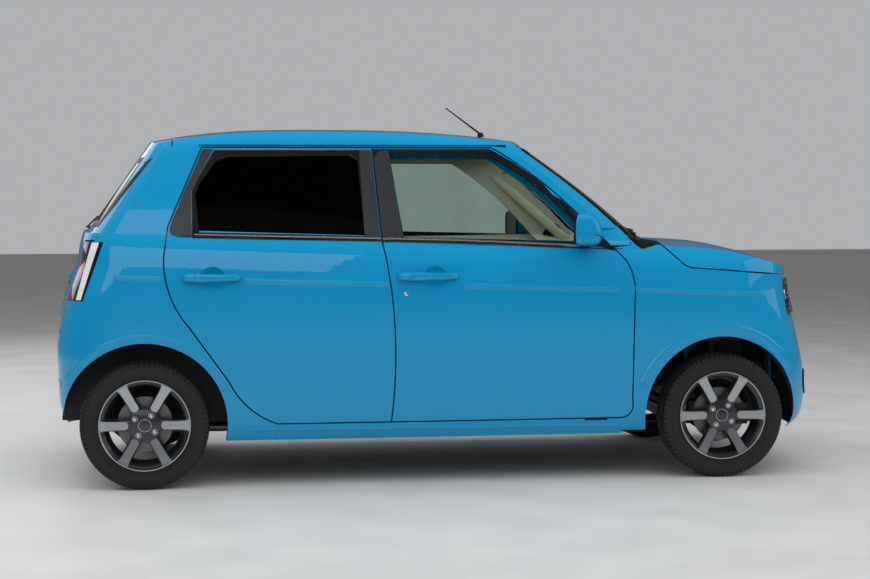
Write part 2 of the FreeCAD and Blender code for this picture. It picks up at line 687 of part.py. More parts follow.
def front_fender():
    """Right fender skin to the door, the bonnet, the lamp and the bumper, with a flange on the apron."""
    side = side_prism(FENDER, -FAR, 0, grow=-0.3)
    inner = block(-FAR, sx(1000), -sy(FENDER_INNER_Y), 0, 0, FAR)
    side = side.cut([inner, side_prism(FRONT_DOOR, -FAR, 0, grow=HALF_GAP), FRONT_ARCH,
                     side_prism(SILL_END, -FAR, 0), side_prism(BONNET_OUTLINE, grow=HALF_GAP)])
    skin = SHELL_RIGHT.common(side)
    flange = SKIN_INSIDE.common(block(sx(960), sx(1480), -FAR, -600, APRON_TOP + 0.3, APRON_TOP + 6))
    zone = side_prism(FENDER, -FAR, 0, grow=-0.3).common(block(sx(884), FAR, -FAR, 0, sz(215), FAR))
    return biggest(skin.fuse([flange, wheel_liner(FRONT_AXLE, FRONT_LINER_Y, zone)]).removeSplitter())


def headlamp():
    zone = side_prism(LAMP_EDGE[::-1] + [(1800, LAMP_TOP), (1800, LAMP_BOTTOM)],
                      -FAR, -HEADLAMP_SPLIT - 0.5, grow=-0.3)
    return biggest(OUTER_RIGHT.common(zone))


def grille():
    zone = block(sx(1528) + 0.5, FAR, -HEADLAMP_SPLIT, HEADLAMP_SPLIT, sz(LAMP_BOTTOM) + 0.5,
                 sz(LAMP_TOP) - 0.5)
    return biggest(OUTER.common(zone))


def front_bumper():
    outline = BUMPER_SEAM + [(1431, 190), (1800, 190), (1800, 703)]
    skin = SHELL.common(side_prism(outline, grow=-0.3)).cut([FRONT_ARCH, mirror(FRONT_ARCH)])
    beam = OUTER.common(block(sx(1580), FAR, -520, 520, 420, 530))
    liners = both(wheel_liner(FRONT_AXLE, FRONT_LINER_Y, side_prism(outline, grow=-0.3)))
    return biggest(skin.fuse([beam] + liners).removeSplitter())


def cowl_panel():
    """Panel under the windscreen, slotted where the bonnet hinges rise through it."""
    slab = INNER_ROOM.common(block(sx(880), sx(1100), -sy(641), sy(641), sz(1004), sz(1046) - 0.3))
    cuts = []
    for side in (-1, 1):
        cuts.append(block(sx(900), sx(1100), *mirrored_span(side, 590, 630), 0, FAR))
        cuts.append(block(sx(925), sx(1100), *mirrored_span(side, 550, 700), sz(1014), FAR))
    return biggest(slab.common(cowl_disc(COWL_RADIUS - COWL_GAP)).cut(cuts))


def sheet_metal(outline, thickness, y_low, y_high):
    """Folded sheet across the car: a side-view line with its thickness laid on the upper, inner side."""
    line = [Vector(sx(x), 0, sz(z)) for x, z in outline]
    normals = []
    for start, end in zip(line, line[1:]):
        run = (end - start).normalize()
        normals.append(Vector(run.z, 0, -run.x))
    inner = [line[0] + normals[0] * thickness]
    for point, before, after in zip(line[1:-1], normals, normals[1:]):
        inner.append(point + (before + after) * (thickness / (1 + before.dot(after))))
    inner.append(line[-1] + normals[-1] * thickness)
    ring = [Vector(point.x, y_low, point.z) for point in line + inner[::-1]]
    face = Part.Face(Part.makePolygon(ring + ring[:1]))
    return face.extrude(Vector(0, y_high - y_low, 0))


FLOOR_LINE = [
    (880, 600), (880, 390), (800, 290), (690, 235), (-420, 235), (-470, 330), (-850, 330), (-880, 480),
    (-1600, 480), (-1600, 655),
]
FLOOR_THICK = 10.0
WALL_Y = 544.0


def floor_pan():
    pan = sheet_metal(FLOOR_LINE, FLOOR_THICK, -WALL_Y, WALL_Y)
    return pan


def dash_panel():
    return block(sx(868), sx(880), -WALL_Y, WALL_Y, sz(600), sz(1046) - 0.3)


RAIL_Y = (330, 400)
TOWER_Y = (380, 560)
APRON_Y = (552, 640)
TOWER_TOP = 812.0
APRON_TOP = 856.0
SUPPORT_X = 1528.0


def mirrored_span(side, low, high):
    """The y range low to high on the left (side 1) or right (side -1)."""
    return (low, high) if side > 0 else (-high, -low)


def steer_axis(side):
    """Lower ball joint, strut top and the direction between them."""
    ball = Vector(FRONT_AXLE, side * size("ball_joint_y"), size("ball_joint_z"))
    top = Vector(FRONT_AXLE, side * size("kingpin_top_y"), size("kingpin_top_z"))
    return ball, top, (top - ball).normalize()


PIN_PLAY = 0.1


def front_structure():
    """Side rails, strut towers, aprons and radiator support, with hinge brackets for the bonnet."""
    pieces = []
    bores = []
    front = sx(SUPPORT_X)
    for side in (-1, 1):
        rail = mirrored_span(side, *RAIL_Y)
        tower = mirrored_span(side, *TOWER_Y)
        apron = mirrored_span(side, *APRON_Y)
        pieces.append(block(sx(880), sx(1580), *rail, 400, 480))
        pieces.append(block(FRONT_AXLE - 90, FRONT_AXLE + 90, *tower, TOWER_TOP, TOWER_TOP + 10))
        pieces.append(block(FRONT_AXLE - 90, FRONT_AXLE + 90, *mirrored_span(side, 380, 392), 440,
                            TOWER_TOP + 10))
        pieces.append(block(sx(880), front, *apron, TOWER_TOP, APRON_TOP).common(INNER_ROOM))
        ball, top, way = steer_axis(side)
        pieces.append(rod(top - way * 18, top + way * 20, 30))
        bores.append(rod(top - way * 40, top + way * 60, size("strut_rod_radius") + PIN_PLAY))
        bracket = mirrored_span(side, 596, 608)
        pieces.append(block(BONNET_HINGE.x - 14, BONNET_HINGE.x + 14, *bracket, APRON_TOP, BONNET_HINGE.z))
        start, end = mirrored_span(side, 596, 626)
        pieces.append(rod((BONNET_HINGE.x, start, BONNET_HINGE.z), (BONNET_HINGE.x, end, BONNET_HINGE.z), 6))
        pieces.append(rod((BONNET_HINGE.x, bracket[0], BONNET_HINGE.z),
                          (BONNET_HINGE.x, bracket[1], BONNET_HINGE.z), 14))
    pieces.append(block(front - 30, front, -560, 560, TOWER_TOP, APRON_TOP))
    pieces.append(block(front - 30, front, -440, 440, 240, 300))
    for y in (-440, 380):
        pieces.append(block(front - 30, front, y, y + 60, 240, APRON_TOP))
    return join(pieces).cut(bores)


# ---------------------------------------------------------------- primitives bound to the sheet

AXLE_FRONT = "(Sizes.wheelbase + Sizes.rear_overhang - Sizes.front_overhang) / 2"
AXLE_REAR = "(Sizes.rear_overhang - Sizes.wheelbase - Sizes.front_overhang) / 2"
HUB_HEIGHT = "Sizes.tyre_diameter / 2"
parts = {}


def keep(name, item):
    """Name a document object as the sub-part that it is."""
    item.Label = name
    parts[name] = item
    return item


def boxed(x_range, y_range, z_range):
    """Part::Box between two corners, each bound a number or an expression on the sheet."""
    item = doc.addObject("Part::Box", "Plate")
    for axis, side, (low, high) in zip("xyz", ("Length", "Width", "Height"), (x_range, y_range, z_range)):
        item.setExpression(side, f"({high}) - ({low})")
        item.setExpression(f"Placement.Base.{axis}", str(low))
    return item


def bar(start, end, radius):
    """Part::Cylinder from start to end; its radius is a number or an expression on the sheet."""
    item = doc.addObject("Part::Cylinder", "Bar")
    item.setExpression("Radius", str(radius))
    way = Vector(*end) - Vector(*start)
    item.Height = way.Length
    item.Placement = FreeCAD.Placement(Vector(*start), FreeCAD.Rotation(Vector(0, 0, 1), way))
    return item


def fused(items):
    whole = doc.addObject("Part::MultiFuse", "Fused")
    whole.Shapes = items
    whole.Refine = True
    return whole


def bored(base, tools):
    """The base with one or more tools taken out of it."""
    item = doc.addObject("Part::Cut", "Bored")
    item.Base = base
    item.Tool = tools[0] if len(tools) == 1 else fused(tools)
    item.Refine = True
    return item


def gathered(items):
    group = doc.addObject("Part::Compound", "Group")
    group.Links = items
    return group


# ---------------------------------------------------------------- running gear

DISC_IN, DISC_OUT = -14.0, -4.0
STUB_END = 20.0


def front_knuckle(side):
    """Upright with stub axle, brake caliper, steering arm and the strut that turns with it."""
    ball, top, way = steer_axis(side)
    hub = Vector(FRONT_AXLE, side * 604, HUB_Z)
    inner = Vector(FRONT_AXLE, side * 562, HUB_Z)
    foot = Vector(FRONT_AXLE, side * 540, HUB_Z + 110)
    down = (foot - top).normalize()
    items = [
        bar(ball - way * 30, ball + way * 10, 9 - PIN_PLAY),
        bar(ball + way * 2, ball + way * 70, 17),
        bar(inner, hub, 40),
        bar(inner, (FRONT_AXLE, side * (HUB_Y + STUB_END), HUB_Z), f"Sizes.stub_radius - {PIN_PLAY}"),
        bar(inner + Vector(0, side * 8, 0), foot, 18),
        bar(foot + down * 12, top + down * 200, 22),
        bar(top + down * 230, top + down * 30, "Sizes.strut_rod_radius"),
        bar(top + down * 225, top + down * 45, 56),
        bar(top + way * 18, top - way * 60, "Sizes.strut_rod_radius"),
        bar(inner + Vector(0, side * 14, -10), (FRONT_AXLE - 130, side * 556, HUB_Z - 30), 11),
        boxed((AXLE_FRONT, f"{AXLE_FRONT} + 100"), mirrored_span(side, 590, 612),
              (f"{HUB_HEIGHT} - 25", f"{HUB_HEIGHT} + 25")),
    ]
    caliper = boxed((f"{AXLE_FRONT} + 72", f"{AXLE_FRONT} + 128"), mirrored_span(side, 604, HUB_Y + 9),
                    (f"{HUB_HEIGHT} - 45", f"{HUB_HEIGHT} + 45"))
    slot = bar((FRONT_AXLE, side * (HUB_Y + DISC_IN - 5), HUB_Z),
               (FRONT_AXLE, side * (HUB_Y + DISC_OUT + 5), HUB_Z),
               "Sizes.disc_diameter / 2 + 5")
    return fused(items + [bored(caliper, [slot])])


def front_subframe():
    """Crossmember, lower arms with their ball-joint bosses, and the steering rack."""
    items = [boxed((f"{AXLE_FRONT} - 130", f"{AXLE_FRONT} - 40"), (-400, 400), (200, 250))]
    bores = []
    for side in (-1, 1):
        ball, top, way = steer_axis(side)
        boss = ball - way * 21
        items.append(bar((FRONT_AXLE - 75, side * 370, 225), boss - Vector(3, 0, 2), "Sizes.arm_radius"))
        items.append(bar((FRONT_AXLE + 230, side * 368, 216), (FRONT_AXLE - 36, side * 500, 191),
                         "Sizes.arm_radius - 2"))
        items.append(bar(ball - way * 38, ball - way * 2, 15))
        bores.append(bar(ball - way * 50, ball + way * 10, 9))
        items.append(boxed((f"{AXLE_FRONT} - 120", f"{AXLE_FRONT} - 70"), mirrored_span(side, 335, 395),
                           (245, 399.7)))
        items.append(boxed((f"{AXLE_FRONT} + 212", f"{AXLE_FRONT} + 248"), mirrored_span(side, 345, 388),
                           (202, 399.7)))
    items.append(bar((FRONT_AXLE - 94, -430, 267), (FRONT_AXLE - 94, 430, 267), 22))
    return bored(fused(items), bores)


def drive_shafts():
    """Bars with a joint boot at each end, from the gearbox out to the knuckles."""
    items = []
    for side in (-1, 1):
        inner = Vector(FRONT_AXLE, side * 332, HUB_Z + 70)
        outer = Vector(FRONT_AXLE, side * 521, HUB_Z + 4)
        run = outer - inner
        items += [bar((FRONT_AXLE, side * (RAIL_Y[0] - 5), HUB_Z + 70), inner, 30), bar(inner, outer, 13),
                  bar(inner + run * 0.05, inner + run * 0.3, 36), bar(inner + run * 0.72, outer, 34)]
    return items


ARM_PIVOT_X = -810.0
FLOOR_UNDER_SEAT = 330.0
FLOOR_UNDER_LOAD = 480.0


def rear_axle():
    """Torsion beam with trailing arms, spring pans and stub axles."""
    pivot_x = sx(ARM_PIVOT_X)
    beam_x = REAR_AXLE + 165
    items = [bar((beam_x, -496, 290), (beam_x, 496, 290), "Sizes.beam_radius")]
    for side in (-1, 1):
        items.append(bar((pivot_x, side * 460, 285), (REAR_AXLE, side * 520, HUB_Z),
                         "Sizes.trailing_arm_radius"))
        items.append(bar((REAR_AXLE, side * 500, HUB_Z), (REAR_AXLE, side * 604, HUB_Z), 40))
        items.append(bar((REAR_AXLE, side * 590, HUB_Z), (REAR_AXLE, side * (HUB_Y + STUB_END), HUB_Z),
                         f"Sizes.stub_radius - {PIN_PLAY}"))
        items.append(bar((pivot_x, side * 430, 285), (pivot_x, side * 490, 285), 30))
        items.append(boxed((pivot_x - 22, pivot_x + 22), mirrored_span(side, 436, 484),
                           (285, FLOOR_UNDER_SEAT - 0.3)))
        items.append(bar((REAR_AXLE + 70, side * 440, 290), (REAR_AXLE + 70, side * 440, 306),
                         "Sizes.spring_radius + 8"))
        items.append(bar((REAR_AXLE + 70, side * 505, 278), (REAR_AXLE + 70, side * 440, 290), 14))
        items.append(bar((REAR_AXLE, side * 604, HUB_Z), (REAR_AXLE, side * 612, HUB_Z), 100))
    return fused(items)


def rear_dampers():
    """Coil springs on the arms and dampers behind the axle, up to the floor."""
    items = []
    top = FLOOR_UNDER_LOAD - 0.3
    for side in (-1, 1):
        items.append(bar((REAR_AXLE + 70, side * 440, 306.3), (REAR_AXLE + 70, side * 440, top),
                         "Sizes.spring_radius"))
        damper = bar((REAR_AXLE - 20, side * 512, HUB_Z + 48),
                     (REAR_AXLE - 50, side * 492, FLOOR_UNDER_LOAD - 8), 22)
        cap = bar((REAR_AXLE - 50, side * 492, FLOOR_UNDER_LOAD - 20), (REAR_AXLE - 50, side * 492, top), 32)
        items.append(fused([damper, cap]))
    return items


# ---------------------------------------------------------------- wheels as PartDesign bodies

def number(value):
    """A coordinate as a number; (alias, factor, offset) reads the sheet."""
    if isinstance(value, tuple):
        alias, factor, offset = value
        return size(alias) * factor + offset
    return float(value)


def expression(value):
    if isinstance(value, tuple):
        alias, factor, offset = value
        return f"Sizes.{alias} * {factor} + {offset}"
    return str(float(value))


def origin_item(body, role):
    return next(item for item in body.Origin.OriginFeatures if item.Role == role)


def outline_sketch(body, role, outline, lift=0.0):
    """Fully constrained closed outline; an entry of two points is an arc through the first to the second."""
    sketch = body.newObject("Sketcher::SketchObject", "Outline")
    sketch.AttachmentSupport = (origin_item(body, role), [""])
    sketch.MapMode = "FlatFace"
    sketch.AttachmentOffset = FreeCAD.Placement(Vector(0, 0, lift), FreeCAD.Rotation())
    corners = [entry[1] if isinstance(entry[0], list) else entry for entry in outline]
    ends = [Vector(number(across), number(up), 0) for across, up in corners]
    links = []
    for index, entry in enumerate(outline):
        start, end = ends[index - 1], ends[index]
        first = 1
        if isinstance(entry[0], list):
            sketch.addGeometry(Part.Arc(start, Vector(number(entry[0][0]), number(entry[0][1]), 0), end),
                               False)
            made = sketch.Geometry[-1]
            first = 1 if made.StartPoint.distanceToPoint(start) < 1e-6 else 2
            sketch.addConstraint(Sketcher.Constraint("Radius", index, made.Radius))
        else:
            sketch.addGeometry(Part.LineSegment(start, end), False)
        links.append((first, 3 - first))
    for index, (first, last) in enumerate(links):
        following = (index + 1) % len(links)
        sketch.addConstraint(Sketcher.Constraint("Coincident", index, last, following, links[following][0]))
    for index, corner in enumerate(corners):
        for kind, value, letter in (("DistanceX", corner[0], "x"), ("DistanceY", corner[1], "y")):
            row = sketch.addConstraint(Sketcher.Constraint(kind, -1, 1, index, links[index][1],
                                                           number(value)))
            sketch.renameConstraint(row, f"{letter}{index}")
            sketch.setExpression(f"Constraints.{letter}{index}", expression(value))
    return sketch


def turned(body, outline):
    """Revolve an outline drawn as (radius, across) about the body's Y axis."""
    feature = body.newObject("PartDesign::Revolution", "Turned")
    feature.Profile = outline_sketch(body, "XY_Plane", outline)
    feature.ReferenceAxis = (feature.Profile[0], ["V_Axis"])
    feature.Angle = 360
    return feature


def padded(body, outline, length, midplane=False, lift=0.0):
    """Pad an outline drawn as (x, z) towards +Y, or both ways from the centre plane."""
    feature = body.newObject("PartDesign::Pad", "Raised")
    feature.Profile = outline_sketch(body, "XZ_Plane", outline, -lift)
    feature.setExpression("Length", expression(length))
    if midplane:
        feature.Midplane = True
    else:
        feature.Reversed = True
    return feature


def softened(body, feature, radius):
    """Fillet every edge of a body's feature."""
    doc.recompute()
    rounded = body.newObject("PartDesign::Fillet", "Rounded")
    rounded.Base = (feature, [f"Edge{index}" for index in range(1, len(feature.Shape.Edges) + 1)])
    rounded.Radius = radius
    return rounded


BEAD, WELL, WIDE = "rim_diameter", "rim_width", "tyre_width"
OUTSIDE = "tyre_diameter"
TYRE_OUTLINE = [
    [(BEAD, 0.5, 0.4), (WELL, 0.5, -3.5)], [(BEAD, 0.5, 0.4), (WELL, 0.5, -17)],
    [(BEAD, 0.5, 8), (WELL, 0.5, -17)], [(OUTSIDE, 0.5, -69), (WIDE, 0.5, -20.5)],
    [(OUTSIDE, 0.5, -47), (WIDE, 0.5, -11.5)], [(OUTSIDE, 0.5, -27), (WIDE, 0.5, -15.5)],
    [(OUTSIDE, 0.5, -13), (WIDE, 0.5, -27.5)], [(OUTSIDE, 0.5, -13), (WIDE, -0.5, 27.5)],
    [(OUTSIDE, 0.5, -27), (WIDE, -0.5, 15.5)], [(OUTSIDE, 0.5, -47), (WIDE, -0.5, 11.5)],
    [(OUTSIDE, 0.5, -69), (WIDE, -0.5, 20.5)], [(BEAD, 0.5, 8), (WELL, -0.5, 17)],
    [(BEAD, 0.5, 0.4), (WELL, -0.5, 17)], [(BEAD, 0.5, 0.4), (WELL, -0.5, 3.5)],
    [(BEAD, 0.5, 17.3), (WELL, -0.5, 0)], [(BEAD, 0.5, 17.3), (WELL, -0.5, -4)],
    [[(OUTSIDE, 0.5, -45), (WIDE, -0.5, 0)], [(OUTSIDE, 0.5, -17), (WIDE, -0.5, 7.5)]],
    [[(OUTSIDE, 0.5, -5), (WIDE, -0.5, 13.5)], [(OUTSIDE, 0.5, 0), (WIDE, -0.5, 23.5)]],
    [(OUTSIDE, 0.5, 0), (WIDE, 0.5, -23.5)],
    [[(OUTSIDE, 0.5, -5), (WIDE, 0.5, -13.5)], [(OUTSIDE, 0.5, -17), (WIDE, 0.5, -7.5)]],
    [[(OUTSIDE, 0.5, -45), (WIDE, 0.5, 0)], [(BEAD, 0.5, 17.3), (WELL, 0.5, 4)]],
    [(BEAD, 0.5, 17.3), (WELL, 0.5, 0)],
]
RIM_OUTLINE = [
    [(BEAD, 0.5, 16.7), (WELL, 0.5, 6.5)], [(BEAD, 0.5, 16.7), (WELL, 0.5, 0.5)],
    [(BEAD, 0.5, 0), (WELL, 0.5, -3)], [(BEAD, 0.5, -2), (WELL, 0.5, -25)],
    [(BEAD, 0.5, -20), (WELL, 0.5, -37)], [(BEAD, 0.5, -20), (WELL, -0.5, 27)],
    [(BEAD, 0.5, 0), (WELL, -0.5, 3)], [(BEAD, 0.5, 16.7), (WELL, -0.5, -0.5)],
    [(BEAD, 0.5, 16.7), (WELL, -0.5, -6.5)], [(BEAD, 0.5, 8), (WELL, -0.5, -6.5)],
    [(BEAD, 0.5, -8), (WELL, -0.5, 7)], [(BEAD, 0.5, -26), (WELL, -0.5, 25)],
    [(BEAD, 0.5, -26), (WELL, 0.5, -31)], [(BEAD, 0.5, -18), (WELL, 0.5, -13)],
    [(BEAD, 0.5, -7), (WELL, 0.5, 0)], [(BEAD, 0.5, 8), (WELL, 0.5, 6.5)],
]
DISC = "disc_diameter"
HUB_OUTLINE = [
    [0, STUB_END + 4], [("stub_radius", 1, 0), STUB_END + 4], [("stub_radius", 1, 0), DISC_IN],
    [(DISC, 0.5, 0), DISC_IN], [(DISC, 0.5, 0), DISC_OUT], [70, DISC_OUT], [64, 14], [[64, 30], [56, 40]],
    [30, 40], [28, 45], [0, 46],
]
SPOKE_OUTLINE = [[50, 22], [50, -22], [(BEAD, 0.5, -4), -19], [(BEAD, 0.5, -4), 19]]


def place_wheel(body, axle, side):
    body.setExpression("Placement.Base.x", axle)
    body.setExpression("Placement.Base.y", f"{side} * Sizes.track / 2")
    body.setExpression("Placement.Base.z", HUB_HEIGHT)
    body.Placement.Rotation = FreeCAD.Rotation(Vector(0, 0, 1), 0 if side > 0 else 180)


def wheel(axle, side):
    """Hub with its brake disc, six spokes as one pad in a polar pattern, then the rim round them."""
    body = doc.addObject("PartDesign::Body", "Wheel")
    turned(body, HUB_OUTLINE)
    spoke = padded(body, SPOKE_OUTLINE, ("spoke_depth", 1, 0), lift=20)
    ring = body.newObject("PartDesign::PolarPattern", "Spokes")
    ring.Originals = [spoke]
    ring.Axis = (origin_item(body, "Y_Axis"), [""])
    ring.Angle = 360
    ring.Occurrences = 6
    body.Tip = ring
    body.Tip = turned(body, RIM_OUTLINE)
    place_wheel(body, axle, side)
    return body


def tyre(axle, side):
    body = doc.addObject("PartDesign::Body", "Tyre")
    turned(body, TYRE_OUTLINE)
    place_wheel(body, axle, side)
    return body


# ---------------------------------------------------------------- cabin

STEER_Y = -335.0
STEER_CENTRE = Vector(335, STEER_Y, 835)
STEER_TILT = 28.0
STEER_WAY = Vector(-math.cos(math.radians(STEER_TILT)), 0, math.sin(math.radians(STEER_TILT)))


def along_column(distance):
    """Point on the steering column, measured from the wheel's rim towards the driver."""
    return STEER_CENTRE + STEER_WAY * distance


def steering_wheel():
    """Rim, three spokes, boss and the shaft into the column."""
    ring = doc.addObject("Part::Torus", "Rim")
    ring.setExpression("Radius1", "Sizes.steering_wheel_diameter / 2")
    ring.Radius2 = 14
    boss = doc.addObject("Part::Cone", "Boss")
    boss.Radius1, boss.Radius2, boss.Height = 62, 74, 42
    boss.Placement.Base = Vector(0, 0, -44)
    across = boxed(("-Sizes.steering_wheel_diameter / 2", "Sizes.steering_wheel_diameter / 2"), (-17, 17),
                   (-17, -5))
    down = boxed((-14, 14), ("-Sizes.steering_wheel_diameter / 2", 0), (-17, -5))
    shaft = bar((0, 0, -115), (0, 0, -40), 14.9)
    whole = fused([ring, boss, across, down, shaft])
    whole.Placement = FreeCAD.Placement(STEER_CENTRE, FreeCAD.Rotation(Vector(0, 0, 1), STEER_WAY))
    return whole


DASH_OUTLINE = [
    [868, 640], [868, 1000], [[790, 1004], [700, 972]], [[640, 960], [606, 900]], [612, 830], [650, 790],
    [664, 640],
]
HOOD_OUTLINE = [[720, 960], [[640, 1012], [560, 965]], [572, 905], [700, 905]]


def dashboard():
    """Padded panel across the car, instrument hood and steering column."""
    body = doc.addObject("PartDesign::Body", "Panel")
    body.Tip = padded(body, [drawn(entry) for entry in DASH_OUTLINE], 2 * WALL_Y, midplane=True)
    hood = doc.addObject("PartDesign::Body", "Hood")
    hood.Tip = padded(hood, [drawn(entry) for entry in HOOD_OUTLINE], 300, midplane=True)
    hood.Placement.Base = Vector(0, STEER_Y, 0)
    column = bar(along_column(-355), along_column(-55), 42)
    return bored(fused([body, hood, column]), [bar(along_column(-130), along_column(-40), 15)])


def drawn(entry):
    """An outline entry moved from its drawn station to the real one."""
    if isinstance(entry[0], list):
        return [drawn(entry[0]), drawn(entry[1])]
    return [sx(entry[0]), sz(entry[1])]


CUSHION_OUTLINE = [
    [-165, 300], [310, 300], [342, 400], [300, 470], [180, 462], [-60, 432],
    [-142, 640], [-212, 990], [-286, 1006], [-262, 760],
]
HEAD_OUTLINE = [[-312, 1040], [-238, 1036], [-236, 1100], [-262, 1180], [-300, 1196], [-330, 1160]]
FRONT_SEAT_Y = 305.0


def front_seat(side):
    """Cushion and back as one rounded pad, head restraint on two posts, floor rails."""
    y = side * FRONT_SEAT_Y
    seat = doc.addObject("PartDesign::Body", "Seat")
    seat.Tip = softened(seat, padded(seat, CUSHION_OUTLINE, ("seat_width", 1, 0), midplane=True), 28)
    head = doc.addObject("PartDesign::Body", "HeadRestraint")
    head.Tip = softened(head, padded(head, HEAD_OUTLINE, 230, midplane=True), 24)
    seat.Placement.Base = Vector(0, y, 0)
    head.Placement.Base = Vector(0, y, 0)
    items = [seat, head]
    for offset in (-60, 60):
        items.append(bar((-240, y + offset, 900), (-285, y + offset, 1080), 7))
    for offset in (-190, 160):
        items.append(boxed((-110, 280), (y + offset, y + offset + 30), (245.3, 310)))
    return fused(items)


BENCH_OUTLINE = [
    [-800, 340.3], [-480, 340.3], [-432, 400], [-460, 480], [-690, 450],
    [-766, 720], [-846, 1000], [-930, 1004], [-886, 760],
]


def rear_seat():
    body = doc.addObject("PartDesign::Body", "Bench")
    body.Tip = softened(body, padded(body, BENCH_OUTLINE, ("rear_bench_width", 1, 0), midplane=True), 28)
    return body


def engine_block():
    """One plain block for engine and gearbox, with the drive shafts."""
    inner = RAIL_Y[0] - 0.3
    whole = boxed((f"{AXLE_FRONT} - 160", f"{AXLE_FRONT} + 200"), (-inner, inner), (330, 760))
    return fused([whole] + drive_shafts())


def fuel_tank():
    low = sx(-800)
    tank = boxed((low, f"{low} + Sizes.tank_length"), (-130, "Sizes.tank_width - 130"),
                 (195, FLOOR_UNDER_SEAT - 0.3))
    doc.recompute()
    rounded = doc.addObject("Part::Fillet", "Tank")
    rounded.Base = tank
    edges = [index for index, edge in enumerate(tank.Shape.Edges, 1) if edge.BoundBox.ZMax < 196]
    rounded.Edges = [(index, 24.0, 24.0) for index in edges]
    return rounded


def exhaust():
    """Down pipe, pipe under the floor, silencer behind the axle, hanger and tail pipe."""
    route = [(FRONT_AXLE - 160.3, -180, 370), (FRONT_AXLE - 210, -180, 370), (sx(860), -240, 205),
             (REAR_AXLE - 60, -240, 205), (REAR_AXLE - 190, -240, 290)]
    items = [bar(start, end, "Sizes.pipe_radius") for start, end in zip(route, route[1:])]
    for point in route[1:-1]:
        bend = doc.addObject("Part::Sphere", "Bend")
        bend.setExpression("Radius", "Sizes.pipe_radius")
        bend.Placement.Base = Vector(*point)
        items.append(bend)
    items.append(bar((REAR_AXLE - 190, -330, 300), (REAR_AXLE - 190, 60, 300), "Sizes.silencer_radius"))
    items.append(bar((REAR_AXLE - 190, -300, 290), (REAR_AXLE - 350, -300, 262), "Sizes.pipe_radius - 4"))
    items.append(boxed((REAR_AXLE - 200, REAR_AXLE - 180), (-150, -130), (360, FLOOR_UNDER_LOAD - 0.3)))
    return fused(items)


MIRROR = [
    (520, 1040), (512, 1120), ((520, 1156), (552, 1160)), ((600, 1150), (628, 1092)),
    ((634, 1052), (616, 1040)),
]


def door_mirror():
    """Right-hand mirror: rounded housing on a short arm from the corner of the door."""
    arm = block(575, 640, -745, -640, 1042, 1072)
    shell = side_prism(MIRROR, -862, -716)
    edges = [edge for edge in shell.Edges if edge.BoundBox.YLength < 1e-6]
    shell = shell.makeFillet(24, [edge for edge in edges if edge.BoundBox.YMin < -800])
    return biggest(join([arm, shell]).cut(OUTER))


def aerial():
    foot = Part.makeCone(16, 11, 22, Vector(206, -300, sz(1506)), Vector(-0.2, 0, 1))
    start, end = Vector(200, -300, sz(1524)), Vector(45, -300, 1638)
    mast = Part.makeCone(4.5, 2.6, (end - start).Length, start, end - start)
    return biggest(join([foot, mast]).cut(OUTER))


def screen_point(y, z, forward):
    """Point of the outer surface at this y and z, seen from the front (forward 1) or the rear (-1)."""
    line = Part.makeLine(Vector(0, y, z), Vector(forward * 2500, y, z))
    vertices = OUTER.common(line).Vertexes
    return max((vertex.Point for vertex in vertices), key=lambda point: point.x * forward)


def wiper(pivot_y, tip_y, pivot_z, tip_z, forward):
    """Pivot cap and one straight arm with its blade, lying a little off the glass."""
    pivot = screen_point(pivot_y, pivot_z, forward)
    tip = screen_point(tip_y, tip_z, forward)
    out = Vector(forward * 13, 0, 11)
    cap = rod(pivot - out * 0.4, pivot + out * 1.3, 11)
    arm = rod(pivot + out, tip + out, 6)
    return biggest(cap.fuse(arm).cut(OUTER))


def windscreen_wipers():
    return Part.Compound([wiper(-60, -540, sz(1044), sz(1075), 1), wiper(440, 0, sz(1040), sz(1070), 1)])


def rear_wiper():
    return wiper(0, 330, sz(1090), sz(1135), -1)


# ---------------------------------------------------------------- the sub-parts

def formed(name, shape):
    """A body panel or fitting cut from the body's form, under its own label."""
    feature = doc.addObject("Part::Feature", name)
    feature.Shape = shape
    feature.Placement = FreeCAD.Placement()
    keep(name, feature)


def formed_pair(name, shape):
    formed(name + "_right", shape)
    formed(name + "_left", mirror(shape))


formed_pair("body_side", body_side())
formed_pair("front_door", door(FRONT_DOOR, FRONT_WINDOW, FRONT_HINGE, hinge_sweep(REAR_HINGE), FRONT_CUP_X))
formed_pair("rear_door", door(REAR_DOOR, REAR_WINDOW, REAR_HINGE, None, REAR_CUP_X))
formed_pair("front_door_glass", window_glass(FRONT_WINDOW))
formed_pair("rear_door_glass", window_glass(REAR_WINDOW))
formed_pair("door_mirror", door_mirror())
formed("roof_panel", roof_panel())
formed("windscreen", windscreen())
formed("tailgate", tailgate())
formed("tailgate_glass", tailgate_glass())
formed("rear_bumper", rear_bumper())
formed("tail_lamps", Part.Compound(both(tail_lamp())))
formed("bonnet", bonnet())
formed("front_fenders", Part.Compound(both(front_fender())))
formed("headlamps", Part.Compound(both(headlamp())))
formed("grille", grille())
formed("front_bumper", front_bumper())
formed("cowl_panel", cowl_panel())
formed("floor_pan", join([floor_pan(), dash_panel()]))
formed("front_structure", front_structure())
keep("front_knuckle_right", front_knuckle(-1))
keep("front_knuckle_left", front_knuckle(1))
keep("front_subframe", front_subframe())
keep("rear_suspension", gathered([rear_axle()] + rear_dampers()))
keep("steering_wheel", steering_wheel())
keep("dashboard", dashboard())
keep("front_seats", gathered([front_seat(-1), front_seat(1)]))
keep("rear_seat", rear_seat())
keep("engine_block", engine_block())
keep("fuel_tank", fuel_tank())
keep("exhaust", exhaust())
formed("aerial", aerial())
formed("windscreen_wipers", windscreen_wipers())
formed("rear_wiper", rear_wiper())
